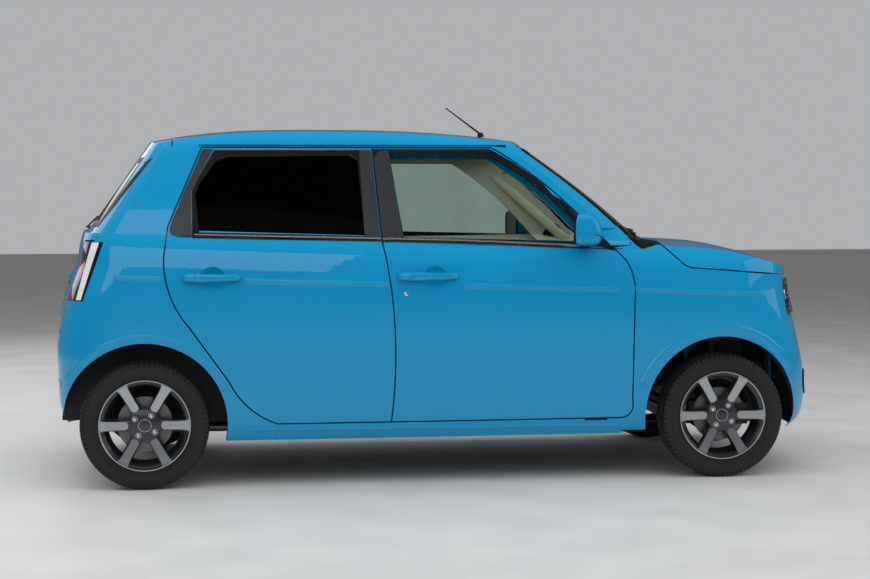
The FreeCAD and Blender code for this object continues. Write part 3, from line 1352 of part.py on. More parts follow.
for hand, side in (("right", -1), ("left", 1)):
    keep(f"front_wheel_{hand}", wheel(AXLE_FRONT, side))
    keep(f"rear_wheel_{hand}", wheel(AXLE_REAR, side))
    keep(f"front_tyre_{hand}", tyre(AXLE_FRONT, side))
    keep(f"rear_tyre_{hand}", tyre(AXLE_REAR, side))
doc.recompute()
for item in doc.Objects:
    if "Invalid" in item.State or "Error" in item.State:
        raise SystemExit(f"{item.Label} failed to compute")
for name, item in parts.items():
    if item.Shape.isNull() or not item.Shape.isValid():
        raise SystemExit(f"{name} has no valid shape")
os.makedirs("parts", exist_ok=True)
for name, item in parts.items():
    item.Shape.exportStep(f"parts/{name}.step")
    print(name, len(item.Shape.Solids), round(item.Shape.Volume / 1e6, 2))
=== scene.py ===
"""Looks of a five-door kei hatchback: paint, glass, lamps, wheels, trim and cabin round the CAD frame."""
import math

import bmesh
import bpy
from mathutils import Matrix, Vector
from mathutils.bvhtree import BVHTree


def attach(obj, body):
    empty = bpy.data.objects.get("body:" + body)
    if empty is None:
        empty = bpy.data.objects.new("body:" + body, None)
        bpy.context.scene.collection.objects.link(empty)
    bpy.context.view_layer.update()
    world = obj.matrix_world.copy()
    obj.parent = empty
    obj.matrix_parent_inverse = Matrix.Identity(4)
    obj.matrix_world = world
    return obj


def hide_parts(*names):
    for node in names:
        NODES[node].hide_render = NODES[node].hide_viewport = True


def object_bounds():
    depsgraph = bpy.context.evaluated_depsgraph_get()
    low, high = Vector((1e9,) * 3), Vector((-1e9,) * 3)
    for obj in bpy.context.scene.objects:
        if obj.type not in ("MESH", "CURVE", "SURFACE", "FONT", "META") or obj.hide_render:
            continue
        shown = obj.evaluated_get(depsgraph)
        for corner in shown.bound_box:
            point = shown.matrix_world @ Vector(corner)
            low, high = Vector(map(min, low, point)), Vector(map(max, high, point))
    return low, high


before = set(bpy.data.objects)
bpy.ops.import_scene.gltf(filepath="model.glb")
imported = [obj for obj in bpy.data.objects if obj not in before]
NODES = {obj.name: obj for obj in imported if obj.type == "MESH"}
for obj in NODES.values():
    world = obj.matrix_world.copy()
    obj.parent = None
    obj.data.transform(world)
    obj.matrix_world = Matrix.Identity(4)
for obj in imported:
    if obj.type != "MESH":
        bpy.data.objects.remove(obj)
MM = 0.001
SIDES = (("right", -1), ("left", 1))
AXLE_X = {"front": 1.221, "rear": -1.299}
HUB_Z, HUB_Y = 0.273, 0.6525
ARCH = 350  # radius of the wheel arches in the panels, in millimetres
WINDOW_LINE, CABIN_WALL = 1.045, 0.712  # height of the belt; how far out the cabin's own faces lie
CAD_BOX = [list(corner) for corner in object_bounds()]

# --- materials


def srgb(red, green, blue):
    """Linear colour of an 8-bit screen colour."""
    def linear(value):
        value /= 255
        return value / 12.92 if value <= 0.04045 else ((value + 0.055) / 1.055) ** 2.4
    return linear(red), linear(green), linear(blue), 1.0


def shade(colour, factor):
    return tuple(min(1.0, part * factor) for part in colour[:3]) + (1.0,)


def feed(tree, node, inputs):
    """Set a node's inputs, each to a value or, by a link, to another node's output."""
    for name, value in inputs.items():
        if isinstance(value, bpy.types.NodeSocket):
            tree.links.new(value, node.inputs[name])
        else:
            node.inputs[name].default_value = value


def add_node(tree, kind, output, inputs=None, **settings):
    """Add a node and return one of its outputs."""
    node = tree.nodes.new(f"ShaderNode{kind}")
    for name, value in settings.items():
        setattr(node, name, value)
    feed(tree, node, inputs or {})
    return node.outputs[output]


def two_tone(tree, noise, dark, light, low=0.0, high=1.0):
    """Colour that runs with the noise from dark at low to light at high."""
    node = tree.nodes.new("ShaderNodeValToRGB")
    tree.links.new(noise, node.inputs["Fac"])
    for element, place, colour in zip(node.color_ramp.elements, (low, high), (dark, light)):
        element.position, element.color = place, colour
    return node.outputs["Color"]


def new_material(name):
    material = bpy.data.materials.new(name)
    material.use_nodes = True
    tree = material.node_tree
    return material, tree, tree.nodes["Principled BSDF"], add_node(tree, "TexCoord", "Object")


def textured(name, colour, rough, spread=0.12, scale=60, bump=0.0, bump_scale=400, rough_spread=0.06,
             metallic=0, coat=0, coat_rough=0.03, specular=0.5, sheen=0.0, second=None):
    """Principled material whose colour, roughness and bump vary with noise in object space."""
    material, tree, shader, place = new_material(name)
    low, high = 0.3, 0.7
    noise = add_node(tree, "TexNoise", "Fac", {"Vector": place, "Scale": scale, "Detail": 5})
    light = second or shade(colour, 1 + spread)
    feed(tree, shader, {
        "Base Color": two_tone(tree, noise, shade(colour, 1 - spread), light, low, high),
        "Roughness": add_node(tree, "MapRange", "Result", {
            "Value": noise, "From Min": low, "From Max": high,
            "To Min": max(0.0, rough - rough_spread), "To Max": min(1.0, rough + rough_spread)}),
        "Metallic": metallic, "Coat Weight": coat, "Coat Roughness": coat_rough,
        "Specular IOR Level": specular, "Sheen Weight": sheen})
    if bump:
        fine = add_node(tree, "TexNoise", "Fac", {"Vector": place, "Scale": bump_scale, "Detail": 3})
        lift = {"Height": fine, "Strength": bump, "Distance": MM}
        feed(tree, shader, {"Normal": add_node(tree, "Bump", "Normal", lift)})
    return material


def glazing(name, tint, clear):
    """Window glass: tinted see-through body with a Fresnel reflection and a faint film of dust."""
    material, tree, shader, place = new_material(name)
    noise = add_node(tree, "TexNoise", "Fac", {"Vector": place, "Scale": 9})
    tinted = two_tone(tree, noise, shade(tint, clear * 0.97), shade(tint, clear * 1.03))
    through = add_node(tree, "BsdfTransparent", "BSDF", {"Color": tinted})
    dust = add_node(tree, "MapRange", "Result", {"Value": noise, "To Min": 0.01, "To Max": 0.04})
    feed(tree, shader, {"Base Color": (0.004, 0.005, 0.005, 1), "IOR": 1.5, "Roughness": dust})
    shine = add_node(tree, "Fresnel", "Fac", {"IOR": 1.45})
    from_inside = add_node(tree, "NewGeometry", "Backfacing")
    outer_shine = {0: shine, 1: from_inside}
    outer_shine = add_node(tree, "Math", "Value", outer_shine, operation="SUBTRACT", use_clamp=True)
    mix = {"Fac": outer_shine, 1: through, 2: shader.outputs["BSDF"]}
    feed(tree, tree.nodes["Material Output"], {"Surface": add_node(tree, "MixShader", "Shader", mix)})
    return material


BLUE = srgb(0, 136, 186)
PAINT = textured("paint", BLUE, 0.45, spread=0.035, scale=900, bump=0.02, bump_scale=1400, coat=0.9,
                 coat_rough=0.02, specular=0.08)
# Body paint darkened to 55 % for the bonnet's underside and the inner structure: painted shade.
SHADED_INNER_PAINT = textured("inner_paint_painted_shade", shade(BLUE, 0.55), 0.5, scale=25, bump=0.05)
BLACK_PLASTIC = textured("black_plastic", srgb(11, 11, 12), 0.5, spread=0.2, bump=0.2, bump_scale=900,
                         specular=0.3)
SATIN_BLACK = textured("satin_black", srgb(36, 38, 43), 0.33, spread=0.1, scale=300, bump=0.06,
                       bump_scale=1200, coat=0.3, coat_rough=0.2)
RUBBER = textured("rubber", srgb(20, 20, 21), 0.75, spread=0.25, bump=0.15, bump_scale=700)
TYRE = textured("tyre", srgb(17, 17, 18), 0.6, spread=0.3, scale=35, bump=0.3, bump_scale=500)
STEEL = textured("steel", srgb(120, 120, 122), 0.42, metallic=1, spread=0.2, scale=80, bump=0.1)
DARK_METAL = textured("dark_metal", srgb(42, 42, 44), 0.55, metallic=0.6, spread=0.3, scale=18, bump=0.3,
                      bump_scale=220, second=srgb(66, 60, 55))
CHROME = textured("chrome", srgb(226, 228, 230), 0.08, metallic=1, spread=0.03, scale=120,
                  rough_spread=0.03)
SILVER = textured("silver", srgb(176, 179, 184), 0.26, metallic=1, spread=0.02, scale=260, coat=0.4,
                  rough_spread=0.015)
GUNMETAL = textured("gunmetal", srgb(64, 66, 70), 0.32, metallic=0.8, spread=0.1, scale=260, coat=0.5)
UNDERSEAL = textured("underseal", srgb(30, 31, 33), 0.85, spread=0.3, scale=30, bump=0.6, bump_scale=160)
CLOTH = textured("cloth", srgb(150, 143, 130), 0.9, spread=0.18, scale=700, bump=0.5, bump_scale=1100,
                 sheen=0.4)
BEIGE = textured("beige_trim", srgb(188, 180, 163), 0.6, spread=0.08, scale=40, bump=0.15,
                 bump_scale=800)
CARPET = textured("carpet", srgb(48, 47, 46), 0.95, spread=0.4, scale=500, bump=0.8, bump_scale=700,
                  sheen=0.3)
HEADLINER = textured("headliner", srgb(196, 191, 180), 0.9, spread=0.07, scale=300, bump=0.3,
                     bump_scale=900)
CABIN_BLACK = textured("cabin_black", srgb(50, 50, 53), 0.62, spread=0.18, bump=0.35, bump_scale=600)
CLEAR_GLASS = glazing("clear_glass", srgb(236, 244, 240), 0.95)
DARK_GLASS = glazing("dark_glass", srgb(70, 74, 76), 0.75)
LENS = glazing("lens", srgb(245, 248, 250), 1.0)
RED_LENS = textured("red_lens", srgb(150, 8, 12), 0.12, spread=0.15, scale=220, coat=1, bump=0.1)
TRIM = textured("trim", srgb(150, 154, 158), 0.28, metallic=0.9, spread=0.05, scale=200, coat=0.4)
MIRROR = textured("mirror", srgb(220, 224, 228), 0.03, metallic=1, spread=0.02, scale=30,
                  rough_spread=0.01)
WHITE_LENS = textured("white_lens", srgb(222, 226, 230), 0.10, spread=0.10, scale=380, coat=1,
                      bump=0.12, bump_scale=520)
DARK_LENS = textured("dark_lens", srgb(40, 42, 46), 0.10, spread=0.15, scale=220, coat=1)
AMBER = textured("amber", srgb(206, 112, 22), 0.12, spread=0.12, scale=300, coat=1, bump=0.1)


def coat(node, *materials, pick=None):
    """Give a CAD node its materials; pick chooses one by a face's centre and normal."""
    mesh = NODES[node].data
    mesh.materials.clear()
    for material in materials:
        mesh.materials.append(material)
    for face in mesh.polygons:
        face.material_index = int(pick(face.center, face.normal)) if pick else 0


def outward(centre, normal):
    """How much a face on one side of the car looks away from the cabin."""
    return normal.y if centre.y > 0 else -normal.y


def side_skin(centre, normal):
    """0 on the outer skin and its edges, 1 on faces that look into the cabin."""
    return 1 if outward(centre, normal) < -0.2 and abs(centre.y) < CABIN_WALL else 0


def door_skin(centre, normal):
    """Like side_skin, and 2 on the window frame's edges and inner faces."""
    return 2 if centre.z > WINDOW_LINE and outward(centre, normal) < 0.75 else side_skin(centre, normal)


def arch_skin(centre, normal):
    """2 on liners and walls round a wheel, otherwise 0 outside and 1 inside."""
    reach = min(math.hypot(centre.x - axle, centre.z - HUB_Z) for axle in AXLE_X.values())
    hidden = abs(centre.y) < 0.66 or outward(centre, normal) < 0.3
    return 2 if reach < 0.50 and centre.z < 0.75 and hidden else side_skin(centre, normal)


def bumper_skin(centre, normal):
    """1 on faces that look into the car, down or into a wheelhouse."""
    end, middle_x = ("front", 1.25) if centre.x > 0 else ("rear", -1.25)
    to_wheel = Vector((AXLE_X[end] - centre.x, 0, HUB_Z - centre.z))
    faces_wheel = to_wheel.length < 0.42 and normal.dot(to_wheel.normalized()) > 0.5
    wheelhouse_wall = 0.53 < abs(centre.y) < 0.57 and abs(normal.y) > 0.95
    inward = normal.dot(centre - Vector((middle_x, centre.y * 0.4, centre.z))) < 0
    return faces_wheel or wheelhouse_wall or inward or normal.z < -0.85


def underside(centre, normal):
    return normal.z < -0.2


for hand, side in SIDES:
    coat(f"body_side_{hand}", PAINT, BEIGE, UNDERSEAL, pick=arch_skin)
    for name, material in (("front_door_glass", CLEAR_GLASS), ("rear_door_glass", DARK_GLASS),
                           ("door_mirror", PAINT), ("front_knuckle", DARK_METAL)):
        coat(f"{name}_{hand}", material)
    for end in AXLE_X:
        coat(f"{end}_door_{hand}", PAINT, BEIGE, BLACK_PLASTIC, pick=door_skin)
        coat(f"{end}_wheel_{hand}", SILVER)
        coat(f"{end}_tyre_{hand}", TYRE)
coat("roof_panel", PAINT, HEADLINER, pick=underside)
# The bonnet's underside takes the darkened body paint: painted shade.
coat("bonnet", PAINT, SHADED_INNER_PAINT, pick=underside)
coat("tailgate", PAINT, BEIGE, pick=lambda centre, normal: normal.x > 0.3)
coat("front_bumper", PAINT, UNDERSEAL, pick=bumper_skin)
coat("rear_bumper", PAINT, UNDERSEAL, pick=bumper_skin)
coat("front_fenders", PAINT, UNDERSEAL, UNDERSEAL, pick=arch_skin)
coat("tail_lamps", RED_LENS, DARK_LENS, pick=lambda centre, normal: abs(normal.y) > 0.42)
coat("floor_pan", UNDERSEAL, CARPET, pick=lambda centre, normal: normal.z > 0.2)
# The structure above 0.62 m takes the darkened body paint: painted shade.
coat("front_structure", SHADED_INNER_PAINT, UNDERSEAL, pick=lambda centre, normal: centre.z < 0.62)
for material, names in (
        (CLEAR_GLASS, "windscreen"), (DARK_GLASS, "tailgate_glass"), (CHROME, "headlamps"),
        (BLACK_PLASTIC, "grille cowl_panel windscreen_wipers rear_wiper"),
        (DARK_METAL, "front_subframe rear_suspension engine_block"), (UNDERSEAL, "fuel_tank"),
        (CABIN_BLACK, "steering_wheel dashboard"), (CLOTH, "front_seats rear_seat"),
        (STEEL, "exhaust"), (RUBBER, "aerial")):
    for name in names.split():
        coat(name, material)

# --- mesh helpers


def piece(name, points, faces, body, materials, slot, indices=None, angle=35):
    """A named mesh that rides on a body and takes the given materials; its slot is not used."""
    mesh = bpy.data.meshes.new(name)
    mesh.from_pydata([tuple(point) for point in points], [], faces)
    for material in materials:
        mesh.materials.append(material)
    if indices:
        for face, index in zip(mesh.polygons, indices):
            face.material_index = index
    work = bmesh.new()
    work.from_mesh(mesh)
    bmesh.ops.remove_doubles(work, verts=work.verts, dist=1e-6)
    bmesh.ops.recalc_face_normals(work, faces=work.faces)
    work.to_mesh(mesh)
    work.free()
    mesh.shade_smooth()
    mesh.set_sharp_from_angle(angle=math.radians(angle))
    item = bpy.data.objects.new(name, mesh)
    bpy.context.scene.collection.objects.link(item)
    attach(item, body)
    return item


class Build:
    """Points, faces and material numbers of a mesh that is put together from several shapes."""

    def __init__(self):
        self.points, self.faces, self.indices = [], [], []

    def add(self, shape, index=0):
        points, faces = shape
        start = len(self.points)
        self.points += points
        self.faces += [tuple(start + corner for corner in face) for face in faces]
        self.indices += [index] * len(faces)

    def piece(self, name, body, materials, slot, angle=35):
        return piece(name, self.points, self.faces, body, materials, slot, self.indices, angle)


def quads(rows, closed=False, wrap=False):
    """Quads between equal rows of points; closed joins a row's ends, wrap the last row to the first."""
    width = len(rows[0])
    faces = []
    for row in range(len(rows) - (0 if wrap else 1)):
        low, high = row * width, (row + 1) % len(rows) * width
        for column in range(width - (0 if closed else 1)):
            after = (column + 1) % width
            faces.append((low + column, low + after, high + after, high + column))
    return [point for row in rows for point in row], faces


def tube(rings):
    """Closed rings joined in turn, with both ends capped."""
    points, faces = quads(rings, closed=True)
    width = len(rings[0])
    faces.append(tuple(range(width)))
    faces.append(tuple(range(len(points) - width, len(points))))
    return points, faces


def slab(front, back):
    """Solid sheet between two equal grids of points."""
    points, faces = quads(front)
    back_points, back_faces = quads(back)
    count, width = len(points), len(front[0])
    rim = [*range(width), *range(2 * width - 1, count, width)]
    rim += [*range(count - 2, count - width - 1, -1), *range(count - 2 * width, 0, -width)]
    faces += [tuple(count + corner for corner in reversed(face)) for face in back_faces]
    faces += [(start, end, end + count, start + count) for start, end in zip(rim, rim[1:] + rim[:1])]
    return points + back_points, faces


def oval(centre, across, up, width, height, count=16, power=2.0):
    """Ring of points on a superellipse."""
    ring = []
    for step in range(count):
        angle = 2 * math.pi * step / count
        side, top = (math.copysign(abs(share) ** (2 / power), share)
                     for share in (math.cos(angle), math.sin(angle)))
        ring.append(Vector(centre) + across * (side * width / 2) + up * (top * height / 2))
    return ring


def lofted(across, up, stations, count=16, power=2.0):
    """Tube through ovals, each given as (centre, width, height)."""
    return tube([oval(centre, across, up, width, height, count, power) for centre, width, height in stations])


def about_axis(angle, radius, out):
    """Point about the wheel's axis (local x, out, z) from a radius and an outward place in millimetres."""
    return Vector((radius * math.cos(angle), out, radius * math.sin(angle))) * MM


def turned(profile, count, closed=False):
    """Revolve (radius, out) points about the wheel's axis."""
    angles = [2 * math.pi * step / count for step in range(count)]
    rows = [[about_axis(angle, radius, out) for radius, out in profile] for angle in angles]
    return quads(rows, closed=closed, wrap=True)


def tree_of(*names):
    """Search tree over the faces of CAD nodes."""
    points, faces = [], []
    for name in names:
        mesh = NODES[name].data
        start = len(points)
        points += [vertex.co.copy() for vertex in mesh.vertices]
        faces += [[start + corner for corner in face.vertices] for face in mesh.polygons]
    return BVHTree.FromPolygons(points, faces)


def landed(tree, start, way, lift):
    """Where a ray meets the surface, lifted off it on the side that it came from."""
    spot, normal = tree.ray_cast(start, way)[:2]
    if spot is None:
        spot, normal = tree.find_nearest(start + way * 0.6)[:2]
    if normal.dot(way) > 0:
        normal = -normal
    return spot + normal * (lift * MM)


def on_side(tree, side):
    """Places on a side of the car, seen from outside: a spot is (along, up)."""
    return lambda spot, lift: landed(tree, Vector((spot[0] * MM, side * 1.3, spot[1] * MM)),
                                     Vector((0, -side, 0)), lift)


def inside_of(name, side):
    """Places on a side seen from the cabin."""
    tree = tree_of(name)
    return lambda spot, lift: landed(tree, Vector((spot[0] * MM, side * 0.15, spot[1] * MM)),
                                     Vector((0, side, 0)), lift)


def on_end(tree, forward):
    """Places on the front or the rear: a spot is (to the left, up)."""
    return lambda spot, lift: landed(tree, Vector((forward * 2.2, spot[0] * MM, spot[1] * MM)),
                                     Vector((-forward, 0, 0)), lift)


def mirrored(place, side):
    """The same places on the side's own half, for fittings that are given on the left."""
    return lambda spot, lift: place((side * spot[0], spot[1]), lift)


def strips(pairs, step, across):
    """Rows between pairs of border points, close enough to follow a curved panel."""
    ends = [(Vector(pair[:2]), Vector(pair[2:])) for pair in pairs]
    rows = []
    for (start, end), (next_start, next_end) in zip(ends, ends[1:]):
        count = max(1, round(max((next_start - start).length, (next_end - end).length) / step))
        rows += [(start.lerp(next_start, number / count), end.lerp(next_end, number / count))
                 for number in range(count)]
    rows.append(ends[-1])
    return [[low.lerp(high, column / across) for column in range(across + 1)] for low, high in rows]


def laid(pairs, place, lift, depth, step=45.0, across=2, crown=0.0, peak=0.5):
    """Sheet laid on a panel between pairs of border points, each pair in four numbers. Its face stands
    lift off the panel and its back depth below; a crown is highest at peak, a share of the way across."""
    rows = strips(pairs, step, across)
    shares = [number / across for number in range(across + 1)]
    rises = [crown * math.sin(math.pi / 2 * (share / peak if share < peak else (1 - share) / (1 - peak)))
             for share in shares]
    return slab([[place(spot, lift + rise) for spot, rise in zip(row, rises)] for row in rows],
                [[place(spot, lift - depth) for spot in row] for row in rows])


def arched(pairs, place, lift, crown, depth, step=45.0, across=6, peak=0.5):
    return laid(pairs, place, lift, depth, step, across, crown, peak)


def band(start, end, low, high):
    """Pairs of a straight strip from start to end that is as wide as from low to high."""
    return [(start, low, start, high), (end, low, end, high)]


def along(points, low, high):
    """Pairs for a strip that follows a line between two heights above it."""
    return [(across, up + low, across, up + high) for across, up in points]


def stud(place, spot, profile, count=28):
    """Round fitting on a panel: rings of (radius, lift) about a spot."""
    angles = [2 * math.pi * step / count for step in range(count)]
    return tube([[place((spot[0] + radius * math.cos(angle), spot[1] + radius * math.sin(angle)), lift)
                  for angle in angles] for radius, lift in profile])


def rounded_box(low, high, radius, count=4):
    """Box with rounded edges all round."""
    low, high = Vector(low), Vector(high)
    middle, half = (low + high) / 2, (high - low) / 2
    work = bmesh.new()
    bmesh.ops.create_cube(work, size=2.0)
    for vertex in work.verts:
        vertex.co = vertex.co * half + middle
    radius = min(radius, half.x * 0.98, half.y * 0.98, half.z * 0.98)
    bmesh.ops.bevel(work, geom=work.edges[:], offset=radius, segments=count, profile=0.5, affect="EDGES")
    work.verts.index_update()
    faces = [tuple(vertex.index for vertex in face.verts) for face in work.faces]
    shape = [vertex.co.copy() for vertex in work.verts], faces
    work.free()
    return shape


def block(x, middle, half, z, radius, count=4):
    """Rounded box over ranges of x and z, half to either side of its middle in y."""
    return rounded_box((x[0], middle - half, z[0]), (x[1], middle + half, z[1]), radius, count)

# --- wheels and tyres: (radius, out) in millimetres

TYRE_SIDE = [
    (195.3, 57), (195.3, 60.5), (198, 62.5), (201, 64.6), (203, 66.8), (206, 67.2), (208, 67.6),
    (210, 70.2), (216, 73.2), (223, 75.6), (224.5, 76.4), (226, 76.4), (227.5, 75.9), (234, 76.0),
    (240, 74.8), (246, 73.0), (247.5, 73.4), (249, 72.7), (255, 70.4), (259, 68.6)]
TREAD = [
    (263.5, 66.0), (268.5, 61.5), (271.6, 55.0), (272.3, 47.5), (272.5, 46.0), (265.5, 44.8),
    (265.5, 39.2), (272.7, 38.0), (273, 25.0), (273, 22.0), (265.8, 20.8), (265.8, 13.2), (273, 12.0),
    (273, 0.0)]
TYRE_INSIDE = [(178.6, 53.5), (178.6, 40), (187, 40), (226, 68), (257, 52), (262, 0)]
PITCHES, GROOVE, SLANT = 78, 5.5, 0.35 / 60
RIM = [
    (194.7, 62.4), (193.6, 63.5), (189.5, 63.5), (187.2, 61.8), (185.8, 58.2), (181, 55.0),
    (176.5, 50.5), (171, 45), (169.5, 32), (160, 18), (156, -28), (170, -50), (186, -63.5),
    (194.7, -63.5), (194.7, -57.5), (178, -54), (163, -32), (163, 20), (178, 32), (178, 54),
    (194.7, 57.5)]
LIP = [(194.75, 62.3), (193.7, 63.6), (189.4, 63.6), (187.1, 61.9), (186.4, 60.4)]
HUB_FACE = [(0, 49.5), (66, 49.5), (69, 48), (72, 42), (72, 18), (0, 18)]
HUB_CAP = [(0, 52.2), (16, 51.9), (22, 51.2), (24.5, 50.2), (25.2, 49.3)]
CAP_RING = [(25.2, 49.4), (25.9, 50.4), (27.0, 50.4), (27.6, 49.4)]
DISC = [(32, -4), (118, -4), (118, -14), (32, -14)]
DISC_BELL = [(0, 20), (62, 20), (66, 14), (66, -6), (0, -6)]
SPOKES = [  # (radius, half width, out)
    (48, 22, 47.5), (66, 21.5, 48.5), (80, 20.5, 50), (110, 19.5, 53), (150, 20.5, 57.5),
    (172, 22.5, 59.6), (183, 27, 60.4), (188.5, 33, 60.8)]
SPOKE_FACES = [
    (69, 0.5, 49.1), (70.5, 8, 49.2), (74, 13.2, 49.6), (80, 16.4, 50.2), (88, 17.4, 51.0),
    (110, 17.0, 53.2), (150, 17.8, 57.7), (172, 19.6, 59.8), (183, 23, 60.7), (189, 28.5, 61.6)]
LUG_CIRCLE, LUG_ANGLE = 50.0, 57.0


def tyre_shape():
    """Tyre with sidewall rings, four grooves round it and cut shoulder blocks."""
    half = TYRE_SIDE + TREAD
    profile = half + [(radius, -out) for radius, out in reversed(half[:-1])]
    profile += [(radius, -out) for radius, out in TYRE_INSIDE]
    profile += [(radius, out) for radius, out in reversed(TYRE_INSIDE[:-1])]
    last = 2 * len(half) - 1
    cut_from, cut_to = len(TYRE_SIDE) - 2, len(half) + len(TREAD) + 1
    rows = []
    for pitch in range(PITCHES):
        for share, cut in ((0.0, True), (0.10, True), (0.14, False), (0.55, False), (0.96, False)):
            row = []
            for number, (radius, out) in enumerate(profile):
                slant = SLANT * out if number < last else 0.0
                angle = 2 * math.pi * (pitch + share + slant) / PITCHES
                on_block = abs(out) > 46.5 or 24 < abs(out) < 37
                if cut and cut_from <= number <= cut_to and on_block:
                    radius -= GROOVE
                row.append(about_axis(angle, radius, out))
            rows.append(row)
    return quads(rows, closed=True, wrap=True)


def along_spoke(turn, radius, across, out):
    angle = math.radians(turn)
    return Vector((radius * math.cos(angle) - across * math.sin(angle), out,
                   radius * math.sin(angle) + across * math.cos(angle))) * MM


def spoke_body(turn):
    """Dark spoke: flat top with soft shoulders, sides that widen to the back."""
    rings = []
    for radius, half, out in SPOKES:
        flank = [(half, out - 1.2), (half + 1.2, out - 4), (half + 5, out - 26)]
        outline = [(2.5 - half, out), (half - 2.5, out), *flank, (0, out - 31)]
        outline += [(-across, height) for across, height in reversed(flank)]
        rings.append([along_spoke(turn, radius, across, height) for across, height in outline])
    return tube(rings)


def spoke_face(turn):
    """Machined face on the spoke, round at its inner end and open to the rim's lip."""
    front, back = ([[along_spoke(turn, radius, half * share, out + lift) for share in (-1, -0.4, 0.4, 1)]
                    for radius, half, out in SPOKE_FACES] for lift in (0.9, -0.6))
    return slab(front, back)


def web(turn):
    """Curved web between two spokes, part of the star round the hub."""
    rings = []
    for step in range(-3, 4):
        angle = turn + 30 + step * 8
        edge = 64 + 9 * (step / 3) ** 2
        outline = ((40, 49.4), (edge - 3, 49.4), (edge, 47), (edge, 20), (40, 20))
        rings.append([along_spoke(angle, radius, 0, out) for radius, out in outline])
    return tube(rings)


def rings_at(centre, profile, count):
    """Rings of (radius, out) about a point of the wheel."""
    angles = [2 * math.pi * step / count for step in range(count)]
    return [[centre + about_axis(angle, radius, out) for angle in angles] for radius, out in profile]


def wheel_shape():
    """Alloy wheel with its lugs, cap, valve, brake disc and bell; numbers follow WHEEL_MATERIALS."""
    build = Build()
    build.add(turned(RIM, 96, closed=True), 1)
    build.add(turned(LIP, 96), 0)
    build.add(turned(HUB_FACE, 48), 1)
    for turn in range(0, 360, 60):
        build.add(spoke_body(turn), 1)
        build.add(spoke_face(turn), 0)
        build.add(web(turn), 1)
    for turn in range(0, 360, 90):
        centre = along_spoke(LUG_ANGLE + turn, LUG_CIRCLE, 0, 0)
        collar = [(12.2, 49.4), (11.8, 50.7), (10.4, 50.7), (9.9, 49.2)]
        build.add(quads(rings_at(centre, collar, 20), closed=True), 3)
        build.add(tube(rings_at(centre, [(10.1, 49.9), (10.0, 49.7)], 20)), 2)
        nut = [(7.4, 49.8), (7.4, 52.6), (5.6, 53.6), (3.2, 54.2)]
        build.add(tube(rings_at(centre, nut, 6)), 3)
    build.add(turned(HUB_CAP, 40), 1)
    build.add(turned(CAP_RING, 40), 3)
    build.add(tube(rings_at(along_spoke(31, 163, 0, 0), [(3.2, 26), (3.2, 44), (3.2, 46)], 8)), 2)
    build.add(turned(DISC, 64, closed=True), 4)
    build.add(turned(DISC_BELL, 48), 5)
    return build


WHEEL_MATERIALS = [SILVER, GUNMETAL, BLACK_PLASTIC, CHROME, STEEL, DARK_METAL]
TYRE_SHAPE, WHEEL = tyre_shape(), wheel_shape()
for end, axle in AXLE_X.items():
    for hand, side in SIDES:
        def at_wheel(points, axle=axle, side=side):
            return [Vector((axle + point.x, side * (HUB_Y + point.y), HUB_Z + point.z)) for point in points]
        wheel_body = f"{end}_wheel_{hand}"
        tyre = piece(f"tyre_{end}_{hand}", at_wheel(TYRE_SHAPE[0]), TYRE_SHAPE[1], wheel_body, [TYRE], "tyre",
                     angle=28)
        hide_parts(f"{end}_tyre_{hand}")
        rim = piece(f"alloy_{end}_{hand}", at_wheel(WHEEL.points), WHEEL.faces, wheel_body, WHEEL_MATERIALS,
                    "alloy", WHEEL.indices)
        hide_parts(f"{end}_wheel_{hand}")

# --- doors, pillars and mouldings: border points (along, up, along, up) in millimetres

BELT = [(-1095, 1066), (-850, 1060), (-365, 1049), (51, 1038), (490, 1017), (730, 1004)]
CREASE = [(-1423, 907), (-882, 889), (50, 861), (753, 837), (1399, 813)]
FRONT_FRAME = [
    (-281, 1048, -190, 1068), (-297, 1240, -216, 1240), (-314, 1444, -243, 1416), (204, 1444, 205, 1411),
    (300, 1388, 290, 1357), (388, 1327, 375, 1303), (470, 1261, 450, 1244), (545, 1189, 520, 1179),
    (680, 1066, 603, 1107), (742, 1007, 603, 1046), (600, 1014, 600, 1046), (200, 1033, 200, 1057),
    (-190, 1045, -190, 1067), (-280, 1048, -190, 1068)]
REAR_FRAME = [
    (-700, 1058, -700, 1086), (-363, 1050, -363, 1075), (-291, 1050, -361, 1075), (-306, 1240, -371, 1240),
    (-322, 1444, -383, 1416), (-700, 1444, -700, 1413), (-994, 1444, -978, 1409), (-1043, 1362, -1022, 1350),
    (-1093, 1264, -1078, 1266), (-1093, 1068, -1063, 1097), (-1060, 1066, -1063, 1097),
    (-700, 1058, -700, 1086)]
FRONT_POST = [(-281, 1052, -193, 1066), (-316, 1442, -247, 1438)]
REAR_POST = [(-290, 1052, -359, 1072), (-322, 1442, -375, 1438)]
QUARTER_TRIM = [
    (-1046, 1446, -1000, 1444), (-1081, 1362, -1046, 1362), (-1108, 1300, -1073, 1300),
    (-1127, 1262, -1097, 1262), (-1151, 1200, -1096, 1200), (-1174, 1150, -1096, 1150),
    (-1188, 1108, -1095, 1108), (-1187, 1092, -1095, 1092), (-1176, 1079, -1095, 1079),
    (-1155, 1071, -1095, 1069)]
HANDLE = [  # (share of the length, how far it stands out, height, whether its back is sunk in the skin)
    (0, 5, 18, 1), (0.012, 14, 26, 1), (0.04, 21, 32, 1), (0.09, 27, 36, 1), (0.15, 31, 37.5, 1),
    (0.205, 32, 37, 0), (0.209, 30.4, 35, 0), (0.216, 30.4, 35, 0), (0.22, 32.2, 36.6, 0),
    (0.35, 34, 35, 0), (0.5, 34.6, 33, 0), (0.65, 34, 31, 0), (0.78, 32, 30, 0), (0.87, 29, 30, 1),
    (0.93, 24, 29, 1), (0.97, 17, 26, 1), (0.99, 11, 21, 1), (1, 5, 15, 1)]
HANDLE_UP, DISH = 899, 62  # height of both handles; from there to sound skin above and below the dish


